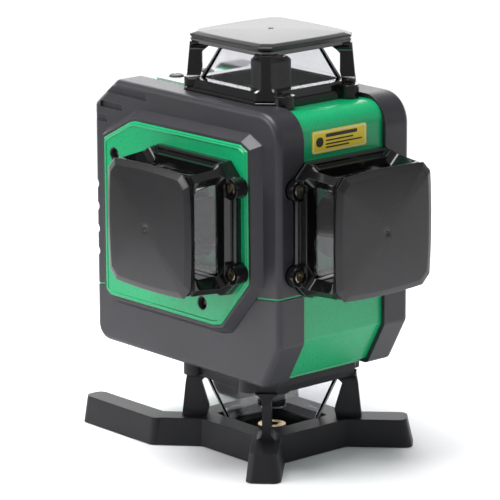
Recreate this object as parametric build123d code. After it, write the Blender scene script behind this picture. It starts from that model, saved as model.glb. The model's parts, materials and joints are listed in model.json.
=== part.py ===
from build123d import *
import os
from math import atan2, cos, degrees, pi, sin, sqrt

# Multi-line laser level with four cone-mirror windows on a low three-dimensional stand.
# Millimetres, +Z up, -Y is the front, -X the side with the third window.
# The origin is on the floor, at the tripod thread, below the axis of the top and bottom windows.

# ---- Body ----
BODY_HALF_WIDTH = 40.7
BODY_FRONT = -51.3
BODY_REAR = 82.0
BODY_BOTTOM = 42.0
BODY_TOP = 171.9
CHIN_TOP = 63.2            # where the front face turns into the lower chamfer
CHIN_BACK = -39.5
SLOPE_START = 65.7         # where the top turns into the rear chamfer
SLOPE_END = 158.7
FRONT_TOP_RADIUS = 14.0
CORE_TOP_RADIUS = 9.3
REAR_BOTTOM_RADIUS = 8.0
SMALL_RADIUS = 3.0
BUMPER_THICKNESS = 2.2
BUMPER_ROUNDING = 2.8
CORE_ROUNDING = 1.4
SHELL_WALL = 2.4
GREEN_HALF_WIDTH = 25.3    # half width of the green strip between the two bumpers
SEAM_FRONT = 86.6          # height of the joint between the two housings, at the front and rear
SEAM_REAR = 69.3
SEAM_LINE = 1.0            # width of the green line in the seam
SEAM_LINE_DEPTH = 0.4

# ---- Window modules ----
AXIS_Z = 117.0             # height of the front and side window axes
FLANGE_HALF = 31.5
FLANGE_CORNER = 6.6
FLANGE_THICKNESS = 3.0
BEZEL_HALF = 29.4
BEZEL_CORNER = 6.0
BEZEL_TOP = 7.6
WINDOW_HALF = 21.0
GLASS_LEDGE = 7.0
POST_TOP = 24.3
PLATE_TOP = 26.6
PLATE_HALF = 28.0
PLATE_CORNER = 2.8
CAP_HALF = 29.0
CAP_CORNER = 4.6
CAP_RIM = 30.0
CAP_FACE_HALF = 25.6
CAP_EDGE_DROP = 1.6
CAP_BOW = 0.9              # how far the cap's sides bulge at their middle
CAP_CROWN = 0.9
POST_HALF_THICKNESS = 2.1
POST_FLARE = 3.4
POST_INNER = 22.8          # along each side, so the blade's inner edge is at root two times this
POST_OUTER_LOW = 28.2
POST_OUTER_HIGH = 26.8
GLASS_HALF_LOW = 23.2
GLASS_HALF_HIGH = 16.3
GLASS_START = 7.1
GLASS_END = 24.0
GLASS_THICKNESS = 1.8
GLASS_GAP = 0.15
MIRROR_WELL_RADIUS = 11.5
MIRROR_WELL_TOP = 28.4
BOSS_RADIUS = 5.0
BOSS_SIDE = 31.5
BOSS_ALONG = 20.1
BOSS_HEIGHT = 6.6
SCREW_RADIUS = 1.5
SCREW_HEAD_RADIUS = 2.75
SCREW_HEAD_HEIGHT = 2.3
SCREW_SEAT = 4.0
SCREW_SOCKET_RADIUS = 1.35
SCREW_CLEARANCE = 0.15
THREAD_CLEARANCE = 0.05
INNER_BOSS_RADIUS = 3.0
COUNTERBORE_RADIUS = 3.1
FRAME_SCREW_REACH = 8.0
SIDE_SCREW_REACH = 14.0
POCKET_CLEARANCE = 0.4
APERTURE_RADIUS = 17.5
LOWER_APERTURE_RADIUS = 18.6

# ---- Side panels ----
LEFT_PLATEAU = 5.6
RIGHT_PLATEAU = 2.4
PANEL_THICKNESS = 3.8
RIM_FOOT = 4.4             # how far the black rim spreads past the green panel at its foot
RIM_LIP = 1.3
RIM_DROP = 0.7
PANEL_SCREW_RECESS = 3.4
PANEL_SCREW_HEAD_RADIUS = 2.4
PANEL_SCREW_HEAD_HEIGHT = 1.5

# ---- Stand ----
STAND_BLOCK_HALF = 30.0
STAND_BLOCK_DRAFT = 1.2
STAND_BLOCK_CORNER = 5.0
STAND_HEIGHT = 13.1
STAND_FLANGE = 7.8
STAND_RECESS_HALF = 13.4
STAND_RIM_HALF = 19.0
STAND_RECESS_TOP = 8.0
STAND_RECESS_FLOOR = 4.0
STAND_POST_OUTER_HIGH = 28.5
STAND_POST_OUTER_LOW = 31.3
STAND_POST_INNER_HIGH = 23.8
STAND_POST_INNER_LOW = 21.2
STAND_GLASS_HALF_HIGH = 23.2
STAND_GLASS_HALF_LOW = 15.44
STAND_GLASS_END = 10.4
FOOT_REACH = 64.6
FOOT_HALF_WIDTH = 6.75
LEG_DRAFT = 1.5
FOOT_ROUNDING = 4.0
REAR_LEG_X = 41.0
REAR_LEG_BEND = 36.5
REAR_LEG_END = 87.0
REAR_LEG_HALF_WIDTH = 5.4
REAR_LEG_ROOT = (23.5, 17.5)
FOOT_START = 18.0          # where the front legs start, inside the block
FOOT_END_DRAFT = 2.9
REAR_END_DRAFT = 1.2
BEND_END_DRAFT = 0.9
BEND_OVERRUN = 0.55        # how far the slanted leg runs past the bend, in leg half widths
PAD_THICKNESS = 1.2
PAD_RECESS = 0.8
PAD_RADIUS = 3.6
PAD_CLEARANCE = 0.1
INSERT_RADIUS = 6.0
INSERT_LENGTH = 9.0
TRIPOD_THREAD_RADIUS = 2.6

# ---- Pendulum and gimbal ----
PIVOT_Z = 152.0
TUBE_RADIUS = 8.9
TUBE_WALL = 1.5
TUBE_TIP = 17.0            # height of a laser tube's end above its window's seat
TUBE_LENS_RADIUS = 3.2
TUBE_FIT = 0.02
BLOCK_HALF = 15.0
BLOCK_LOW = 100.0
BLOCK_HIGH = 135.0
COLLAR_RADIUS = 12.5
NECK_RADIUS = 13.0
NECK_TOP = 158.0
FRONT_COLLAR_END = 32.0
SIDE_COLLAR_END = 30.0
BRAKE_RADIUS = 75.0        # spherical underside of the brake flange, centred on the pivot
BRAKE_FLANGE_RADIUS = 19.0
BRAKE_FLANGE_TOP = 83.0
SLEEVE_RADIUS = 6.2
SLEEVE_WALL = 0.55
MIRROR_RADIUS = 5.6
MIRROR_TIP_GAP = 0.6
MIRROR_DISC = 0.8
RING_INNER = 15.5
RING_OUTER = 19.5
RING_HEIGHT = 8.0
BEARING_RADIUS = 3.0
BEARING_BORE = 1.5
BEARING_WIDTH = 2.5
BEARING_OFFSET = 17.6
PIN_CLEARANCE = 0.03
PENDULUM_PIN_START = 10.3
PENDULUM_PIN_END = 19.6
YOKE_PIN_START = 15.9
YOKE_PIN_END = 25.5
YOKE_ARM_INNER = 21.0
YOKE_ARM_OUTER = 26.0
YOKE_ARM_HALF = 6.0
YOKE_ARM_LOW = 146.0
YOKE_PLATE_HALF_X = 32.0
YOKE_PLATE_HALF_Y = 18.0
YOKE_PLATE = 3.0
YOKE_HOLE_RADIUS = 15.2
YOKE_STANDOFF = 5.0
YOKE_SCREW_X = 28.0
YOKE_SCREW_Y = 14.0
YOKE_SCREW_REACH = 5.5
ARM_LENGTH = 23.0
ARM_HALF_WIDTH = 12.0
ARM_LOW = 87.0
ARM_THICKNESS = 3.0
MAGNET_RADIUS = 4.0
MAGNET_HEIGHT = 3.0
MAGNET_SPACING = 7.0
MAGNET_Y = 32.0
DAMPER_TOP = 80.0
DAMPER_THICKNESS = 2.0
DAMPER_FRONT = 25.5
DAMPER_REAR = 47.0
DAMPER_HALF_WIDTH = 16.0
WEIGHT_RADIUS = 9.0
ALUMINIUM_DENSITY = 2.7e-3   # g per cubic millimetre
BRASS_DENSITY = 8.5e-3
STEEL_DENSITY = 7.85e-3
GLASS_DENSITY = 2.5e-3

# ---- Lock ----
LOCK_RING_INNER = 16.5
LOCK_RING_OUTER = 20.5
LOCK_RING_LOW = 70.0
LOCK_RING_TOP = 75.0
LOCK_LIFT = 3.1
LUG_Y = 23.5
LUG_RADIUS = 4.5
LUG_THICKNESS = 2.5
GUIDE_RADIUS = 2.0
GUIDE_TOP = 75.5
GUIDE_GAP = 0.35
LOCK_ARM_END = 27.0
LOCK_ARM_HALF = 4.0
LOCK_ARM_THICKNESS = 3.0
CAM_RADIUS = 4.0
CAM_GAP = 0.4
CAM_WIDTH = 4.0
SHAFT_START = 27.6
SHAFT_RADIUS = 2.5
SHAFT_GAP = 0.35
KNOB_RADIUS = 8.5
KNOB_GAP = 0.5
KNOB_HEIGHT = 6.0
KNOB_RIBS = 16
KNOB_RIB_RADIUS = 0.7

# ---- Keypad ----
KEYPAD_Y = 51.5
KEYPAD_LENGTH = 25.0
KEYPAD_WIDTH = 36.0
KEYPAD_THICKNESS = 1.0
BUTTON_RADIUS = 3.4
BUTTON_GAP = 0.4
BUTTON_PROUD = 0.9
BUTTON_TRAVEL = 0.6
BUTTON_X = 9.5
BUTTON_Y = 6.0
BUTTON_FLANGE = 4.6
BUTTON_FLANGE_HEIGHT = 1.2
BUTTON_FLOAT = 0.4
BOARD_THICKNESS = 1.6
BOARD_GAP = 0.4
STANDOFF_RADIUS = 2.4

# ---- Battery, board and charging ----
BATTERY_HALF_WIDTH = 22.0
BATTERY_LOW = 56.0
BATTERY_HIGH = 130.0
BATTERY_FRONT = 58.0
BATTERY_GAP = 0.5
BATTERY_WALL = 1.8
BAY_WALL = 1.6
CELL_LENGTH = 65.0
CELL_GAP = 1.2
CELL_X = (BATTERY_HALF_WIDTH - BATTERY_WALL - 0.4) / 2
CELL_RADIUS = CELL_X - CELL_GAP / 2
LATCH_RADIUS = 5.0
LATCH_Z = 139.5
LATCH_PROUD = 1.2
CONTACT_RADIUS = 1.6
CONTACT_LENGTH = 1.2
CONTACT_X = 8.0
BOARD_X = 30.0
BOARD_FRONT = 21.0
BOARD_REAR = 53.0
BOARD_LOW = 92.0
BOARD_HIGH = 150.0
SOCKET_Y = 62.0
SOCKET_Z = 57.0
SOCKET_DEPTH = 7.5
SOCKET_WIDTH = 12.0
SOCKET_HEIGHT = 6.4
PORT_WIDTH = 9.2
PORT_HEIGHT = 3.4
COVER_WIDTH = 16.0
COVER_HEIGHT = 9.0
COVER_THICKNESS = 1.6
COVER_PLUG = 1.4
COVER_GAP = 0.35
COVER_BEAD_RADIUS = 0.75     # round bead along the hinge edge of the cover
COVER_PLUG_HALF_WIDTH = 3.4
COVER_PLUG_HALF_HEIGHT = 2.4
SOCKET_WALL = 0.1

# ---- Label and grip details ----
LABEL_WIDTH = 33.5
LABEL_HEIGHT = 10.4
LABEL_X = -1.8
LABEL_Z = 156.2
LABEL_CORNER = 1.0
LABEL_THICKNESS = 0.3
GRIP_HEIGHTS = (85.7, 96.8, 107.9, 119.0)
GRIP_RADIUS = 3.4
GRIP_DEPTH = 0.9
GROOVE_DEPTH = 1.2
GROOVES = ((42.7, 72.7, 165.0, 168.4), (60.7, 77.0, 157.4, 160.4), (72.2, 84.0, 150.4, 153.6))

# ---- Small shared sizes ----
BOSS_END_WALL = 0.8        # wall beyond the end of a screw in its boss
SCREW_END_GAP = 0.4        # gap beyond the end of a screw
SCREW_SOCKET_DEPTH = 1.4
CROSS_RECESS = (2.6, 0.6, 1.4)
CAGE_BEVEL = 0.8
POST_SINK = 3.5            # how far a post runs down into its ring
POST_BITE = 0.6            # how far a post runs up into its plate
POST_HEAD = 3.4            # widening of a post under the plate
POST_STEP = 0.8
CAP_DRAFT = 0.7
GATE_RADIUS = 1.1
GATE_DEPTH = 0.35
PANEL_GAP = 0.1
RIM_OVERLAP = 0.5
STAND_FLANGE_CHAMFER = 3.6
FOOT_PAD_INSET = 4.0
REAR_PAD_INSET = 8.0
TUBE_CHAMFER = 1.2
TUBE_TIP_WALL = 2.2
BRAKE_FLANGE_HEIGHT = 8.0
BEARING_SEAT_CLEARANCE = 0.02
PIN_HOLE_GAP = 0.4
PIN_HOLE_WALL = 0.4
KNOB_CHAMFER = 0.8
KNOB_SKIRT = 1.5
POINTER_DEPTH = 0.4
POINTER_HALF = 0.8
POINTER_START = 2.0
KEYPAD_CORNER = 3.0
KEYPAD_BOARD_HALF = 11.0
BUTTON_ROUNDING = 0.5
BATTERY_INSET = 0.4
BATTERY_ROUNDING = 1.4
PACK_GROOVES = 5
PACK_GROOVE_START = 22.0
PACK_GROOVE_PITCH = 7.5
PACK_GROOVE_HALF_LENGTH = 12.0
PACK_GROOVE_HALF_WIDTH = 1.2
PACK_GROOVE_DEPTH = 0.9
LATCH_FLANGE = 1.4
LATCH_FLOAT = 0.4

FAR = 200.0                # half size of the blocks that cut space in two

CORE_FRONT = BODY_FRONT + BUMPER_THICKNESS
CORE_TOP = BODY_TOP - BUMPER_THICKNESS
CORE_BOTTOM = BODY_BOTTOM + BUMPER_THICKNESS
CORE_REAR = BODY_REAR - BUMPER_THICKNESS
CORE_HALF_WIDTH = BODY_HALF_WIDTH - BUMPER_THICKNESS
CAVITY_TOP = CORE_TOP - SHELL_WALL
CAVITY_BOTTOM = CORE_BOTTOM + SHELL_WALL
CAVITY_REAR = CORE_REAR - SHELL_WALL
CAVITY_HALF_WIDTH = CORE_HALF_WIDTH - SHELL_WALL
LEFT_FACE = -BODY_HALF_WIDTH - LEFT_PLATEAU

# Seats of the windows: local +Z points out of the body, screw bosses lie along local Y.
TOP_SEAT = Location((0, 0, CORE_TOP))
FRONT_SEAT = Location((0, CORE_FRONT, AXIS_Z), (90, 0, 0)) * Location((0, 0, 0), (0, 0, 90))
LEFT_SEAT = Location((LEFT_FACE, 0, AXIS_Z), (0, -90, 0))
LOWER_SEAT = Location((0, 0, BODY_BOTTOM), (180, 0, 0)) * Location((0, 0, 0), (0, 0, 90))
SEATS = {"top": TOP_SEAT, "front": FRONT_SEAT, "left": LEFT_SEAT, "bottom": LOWER_SEAT}

NODES = {}


def cylinder(radius, low, high, x=0.0, y=0.0):
    """Upright cylinder between two heights."""
    return Pos(x, y, (low + high) / 2) * Cylinder(radius, high - low)


def block(x0, x1, y0, y1, z0, z1):
    """Box between two corners, given in any order along X."""
    return Pos((x0 + x1) / 2, (y0 + y1) / 2, (z0 + z1) / 2) * Box(abs(x1 - x0), y1 - y0, z1 - z0)


def cut_square(half, corner):
    """Square face with its four corners cut off."""
    inner = half - corner
    return make_face(Polyline(
        (half, inner), (inner, half), (-inner, half), (-half, inner),
        (-half, -inner), (-inner, -half), (inner, -half), (half, -inner), close=True))


def bowed_square(half, corner, bow):
    """Cut square whose four sides bulge outwards a little."""
    inner = half - corner
    edges = []
    for turn in range(4):
        spin = Rot(0, 0, 90 * turn)
        edges.append(spin * ThreePointArc((half, -inner), (half + bow, 0), (half, inner)))
        edges.append(spin * Line((half, inner), (inner, half)))
    return make_face(edges)


def frustum(low, high):
    """Block between two cut squares, each given as (half, corner, height)."""
    return loft([Pos(0, 0, low[2]) * cut_square(*low[:2]), Pos(0, 0, high[2]) * cut_square(*high[:2])])


def square_block(half, corner, low, high):
    """Straight block on a cut square."""
    return extrude(Pos(0, 0, low) * cut_square(half, corner), high - low)


def joined(parts):
    """One solid from pieces that overlap or touch."""
    total = parts[0]
    for piece in parts[1:]:
        total = total + piece
    return total


def group(parts):
    """Several separate solids in one node."""
    return Compound([solid for piece in parts for solid in piece.solids()])


def boss_spots():
    """Screw positions round a window, in its own frame."""
    return [(sx * BOSS_ALONG, sy * BOSS_SIDE) for sx in (-1, 1) for sy in (-1, 1)]


# ---- Body outline ----

def side_outline(inset, top_radius, small_radius):
    """Side view of the body with Y across and Z up, drawn in by inset."""
    corners = [(BODY_FRONT, CHIN_TOP), (CHIN_BACK, BODY_BOTTOM), (BODY_REAR, BODY_BOTTOM),
               (BODY_REAR, SLOPE_END), (SLOPE_START, BODY_TOP), (BODY_FRONT, BODY_TOP)]
    face = make_face(Polyline(*corners, close=True))
    if inset:
        face = offset(face, -inset, kind=Kind.INTERSECTION)
    for x, y in [(vertex.X, vertex.Y) for vertex in face.vertices()]:
        radius = small_radius
        if x < 0 and y > AXIS_Z:
            radius = top_radius
        elif x > 0 and y < SEAM_REAR:
            radius = max(REAR_BOTTOM_RADIUS - inset, small_radius)
        corner = min(face.vertices(), key=lambda v: (v.X - x) ** 2 + (v.Y - y) ** 2)
        face = fillet(corner, radius)
    return face


def body_solid(half_width, inset, top_radius, small_radius, rounding):
    """Body outline carried across the width, with its side edges rounded."""
    solid = extrude(Plane.YZ * side_outline(inset, top_radius, small_radius), half_width, both=True)
    if rounding:
        edges = [e for e in solid.edges() if abs(abs(e.center().X) - half_width) < 0.01]
        solid = fillet(edges, rounding)
    return solid


def seam_height(y):
    """Height of the joint between the housings at a given depth."""
    return SEAM_FRONT + (SEAM_REAR - SEAM_FRONT) * (y - BODY_FRONT) / (BODY_REAR - BODY_FRONT)


def seam_slab(low, high):
    """Everything between two planes parallel to the seam, given as heights above it."""
    points = [(-FAR, seam_height(-FAR) + low), (FAR, seam_height(FAR) + low),
              (FAR, seam_height(FAR) + high), (-FAR, seam_height(-FAR) + high)]
    return extrude(Plane.YZ * make_face(Polyline(*points, close=True)), FAR, both=True)


# ---- Window modules ----

def post(outer_low, outer_high, inner_low, inner_high, low, high, envelope):
    """One diagonal blade along +X, flared at both ends and trimmed to the cage's outer shape."""
    root = sqrt(2)
    mid_low, mid_high = low + POST_FLARE, high - POST_FLARE
    side = make_face(Polyline(
        (root * outer_low, low - POST_SINK), (root * outer_low, low), (root * outer_high, high),
        (root * outer_high, high + POST_BITE), (root * (inner_high - POST_HEAD), high + POST_BITE),
        (root * (inner_high - POST_HEAD), high - POST_BITE / 2), (root * (inner_high - POST_STEP), mid_high),
        (root * inner_high, mid_high - 2 * POST_BITE), (root * inner_low, mid_low),
        (root * (inner_low + POST_STEP), low - POST_BITE), (root * (inner_low + POST_STEP), low - POST_SINK),
        close=True))
    blade = extrude(Plane.XZ * side, 4 * POST_FLARE, both=True)
    width = 2 * (POST_HALF_THICKNESS + POST_FLARE)
    height = high - low + POST_SINK + 2 * POST_BITE
    face = Pos(0, (low - POST_SINK + high + 2 * POST_BITE) / 2) * Rectangle(width, height)
    for side_sign in (-1, 1):
        gap_width = 4 * POST_FLARE
        gap = Pos(side_sign * (POST_HALF_THICKNESS + gap_width / 2), (low + high) / 2) \
            * RectangleRounded(gap_width, high - low, POST_FLARE)
        face = face - gap
    across = extrude(Plane.YZ * face, 3 * BOSS_SIDE)
    return blade & across & Rot(0, 0, 45) * envelope


def window_frame():
    """Glossy cage: screwed ring, four diagonal posts and the plate that carries the cap."""
    bevel = CAGE_BEVEL
    body = [square_block(FLANGE_HALF, FLANGE_CORNER, 0, FLANGE_THICKNESS),
            frustum((FLANGE_HALF, FLANGE_CORNER, FLANGE_THICKNESS),
                    (FLANGE_HALF - bevel, FLANGE_CORNER - bevel / 2, FLANGE_THICKNESS + bevel)),
            frustum((BEZEL_HALF, BEZEL_CORNER, FLANGE_THICKNESS),
                    (BEZEL_HALF - bevel, BEZEL_CORNER - bevel / 2, BEZEL_TOP))]
    body += [cylinder(BOSS_RADIUS, 0, BOSS_HEIGHT, x, y) for x, y in boss_spots()]
    ring = joined(body)
    ring = ring - square_block(WINDOW_HALF, 1.0, -1, BEZEL_TOP + 1)
    ring = ring - square_block(GLASS_HALF_LOW + 0.4, 0.5, GLASS_LEDGE, BEZEL_TOP + 1)
    envelope = frustum((FLANGE_HALF, FLANGE_CORNER, FLANGE_THICKNESS), (PLATE_HALF, PLATE_CORNER, PLATE_TOP))
    blade = post(POST_OUTER_LOW, POST_OUTER_HIGH, POST_INNER, POST_INNER, BEZEL_TOP, POST_TOP, envelope)
    plate = frustum((PLATE_HALF - 0.6, PLATE_CORNER, POST_TOP), (PLATE_HALF, PLATE_CORNER, PLATE_TOP))
    plate = plate - cylinder(MIRROR_WELL_RADIUS, POST_TOP - 1, PLATE_TOP + 1)
    frame = ring + plate
    for turn in range(4):
        frame = frame + Rot(0, 0, 45 + 90 * turn) * blade
    for x, y in boss_spots():
        frame = frame - cylinder(COUNTERBORE_RADIUS, SCREW_SEAT, BEZEL_TOP + 4, x, y)
        frame = frame - cylinder(SCREW_RADIUS + SCREW_CLEARANCE, -1, SCREW_SEAT + 1, x, y)
    return frame


def cap():
    """Satin cover on a cage: bevelled square plate with a crowned face and a gate mark."""
    edge = CAP_RIM - CAP_EDGE_DROP
    body = joined([
        loft([Pos(0, 0, PLATE_TOP) * bowed_square(CAP_HALF - CAP_DRAFT, CAP_CORNER - CAP_DRAFT / 4, CAP_BOW),
              Pos(0, 0, edge) * bowed_square(CAP_HALF, CAP_CORNER, CAP_BOW)]),
        loft([Pos(0, 0, edge) * bowed_square(CAP_HALF, CAP_CORNER, CAP_BOW),
              Pos(0, 0, CAP_RIM) * bowed_square(CAP_FACE_HALF, CAP_CORNER - 1.0, CAP_BOW)])])
    crown_radius = CAP_FACE_HALF ** 2 / (2 * CAP_CROWN)
    crown = square_block(CAP_FACE_HALF - 0.4, CAP_CORNER - 1.2, CAP_RIM - 0.3, CAP_RIM + 2) \
        & Pos(0, 0, CAP_RIM + CAP_CROWN - crown_radius) * Sphere(crown_radius)
    body = body + crown
    body = body - cylinder(MIRROR_WELL_RADIUS, PLATE_TOP - 1, MIRROR_WELL_TOP)
    return body - cylinder(GATE_RADIUS, CAP_RIM + CAP_CROWN - GATE_DEPTH, CAP_RIM + 2)


def glass_set(half_start, half_end, start, end):
    """Four tilted panes that close a window, mitred at the corners."""
    outer = frustum((half_start, 0.3, start), (half_end, 0.3, end))
    inner = frustum((half_start - GLASS_THICKNESS, 0.3, start - 0.01),
                    (half_end - GLASS_THICKNESS, 0.3, end + 0.01))
    shell = outer - inner
    for turn in (45, -45):
        shell = shell - Rot(0, 0, turn) * Box(4 * half_start, GLASS_GAP, 4 * abs(end - start) + FAR)
    return shell


def frame_screw(reach):
    """Socket-head screw in a window boss, seated in its counterbore."""
    head = cylinder(SCREW_HEAD_RADIUS, SCREW_SEAT, SCREW_SEAT + SCREW_HEAD_HEIGHT)
    socket = extrude(Pos(0, 0, SCREW_SEAT + SCREW_HEAD_HEIGHT - SCREW_SOCKET_DEPTH)
                     * RegularPolygon(SCREW_SOCKET_RADIUS, 6), 2)
    return head - socket + cylinder(SCREW_RADIUS, -reach, SCREW_SEAT)


def pocket(low, high, grow):
    """Space that a window ring takes up, for cutting the bumpers round it."""
    body = square_block(FLANGE_HALF + grow, FLANGE_CORNER, low, high)
    for x, y in boss_spots():
        body = body + cylinder(BOSS_RADIUS + grow, low, high, x, y)
    return body


# ---- Housings, bumpers and panels ----

LEFT_PANEL = ((68.3, 144.5), (48.5, 154.9), (44.8, 155.9), (-30.6, 156.7), (-35.7, 154.2), (-36.2, 92.0),
              (-16.5, 69.1), (-11.5, 67.8), (64.7, 67.5), (68.1, 69.9))
RIGHT_PANEL = ((68.3, 144.5), (48.5, 154.9), (44.8, 155.9), (-30.6, 156.7), (-35.7, 154.2), (-36.2, 100.0),
               (-28.0, 92.5), (64.7, 86.0), (68.1, 89.0))
LEFT_PANEL_SCREWS = ((-3.6, 77.1), (60.0, 137.5))
RIGHT_PANEL_SCREWS = ((-25.0, 148.0), (60.0, 96.0))


def panel_face(outline, grow):
    """Side panel outline, Y across and Z up, grown or shrunk evenly."""
    face = make_face(Polyline(*outline, close=True))
    return offset(face, grow, kind=Kind.INTERSECTION) if grow else face


def side_plate(outline, grow, x0, x1):
    """Plate with the panel outline between two planes across the body."""
    return extrude(Plane.YZ.offset(min(x0, x1)) * panel_face(outline, grow), abs(x1 - x0))


def plateau(outline, side, rise):
    """Black raised rim under a side panel, bevelled outwards to the bumper face."""
    foot = side * BODY_HALF_WIDTH
    lip = side * (BODY_HALF_WIDTH + rise - RIM_DROP)
    bevel = loft([Plane.YZ.offset(foot) * panel_face(outline, RIM_FOOT),
                  Plane.YZ.offset(lip) * panel_face(outline, RIM_LIP)])
    base = side_plate(outline, RIM_FOOT, side * CORE_HALF_WIDTH, foot)
    return base + bevel


def panel_screw(side, y, z, seat, reach):
    """Cross-head screw that holds a side panel."""
    turn = Rot(0, 90 * side, 0)
    head = cylinder(PANEL_SCREW_HEAD_RADIUS, 0, PANEL_SCREW_HEAD_HEIGHT)
    for angle in (0, 90):
        head = head - Rot(0, 0, angle) * Pos(0, 0, PANEL_SCREW_HEAD_HEIGHT) * Box(*CROSS_RECESS)
    screw = head + cylinder(SCREW_RADIUS, -reach, 0)
    return Pos(seat, y, z) * turn * screw


def along_x(radius, x0, x1, y, z):
    """Cylinder along X between two planes."""
    return Pos((x0 + x1) / 2, y, z) * Rot(0, 90, 0) * Cylinder(radius, abs(x1 - x0))


def along_y(radius, y0, y1, x, z):
    """Cylinder along Y between two planes."""
    return Pos(x, (y0 + y1) / 2, z) * Rot(90, 0, 0) * Cylinder(radius, abs(y1 - y0))


def yoke_screw_spots():
    """Corners of the yoke plate where it is screwed to the upper housing."""
    return [(sx * YOKE_SCREW_X, sy * YOKE_SCREW_Y) for sx in (-1, 1) for sy in (-1, 1)]


def button_spots():
    """Keypad buttons, front pair first."""
    return [(sx * BUTTON_X, KEYPAD_Y + sy * BUTTON_Y) for sy in (-1, 1) for sx in (-1, 1)]


def port_opening(x_from):
    """Opening for the charging socket, from a depth inside to outside the wall."""
    return block(x_from, BODY_HALF_WIDTH + 2, SOCKET_Y - SOCKET_WIDTH / 2, SOCKET_Y + SOCKET_WIDTH / 2,
                 SOCKET_Z - SOCKET_HEIGHT / 2, SOCKET_Z + SOCKET_HEIGHT / 2)


def shaft_bore(x_from):
    """Bore for the lock shaft, from a depth inside to outside the wall."""
    return along_x(SHAFT_RADIUS + SHAFT_GAP, x_from, BODY_HALF_WIDTH + 1, 0, shaft_height())


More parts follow.
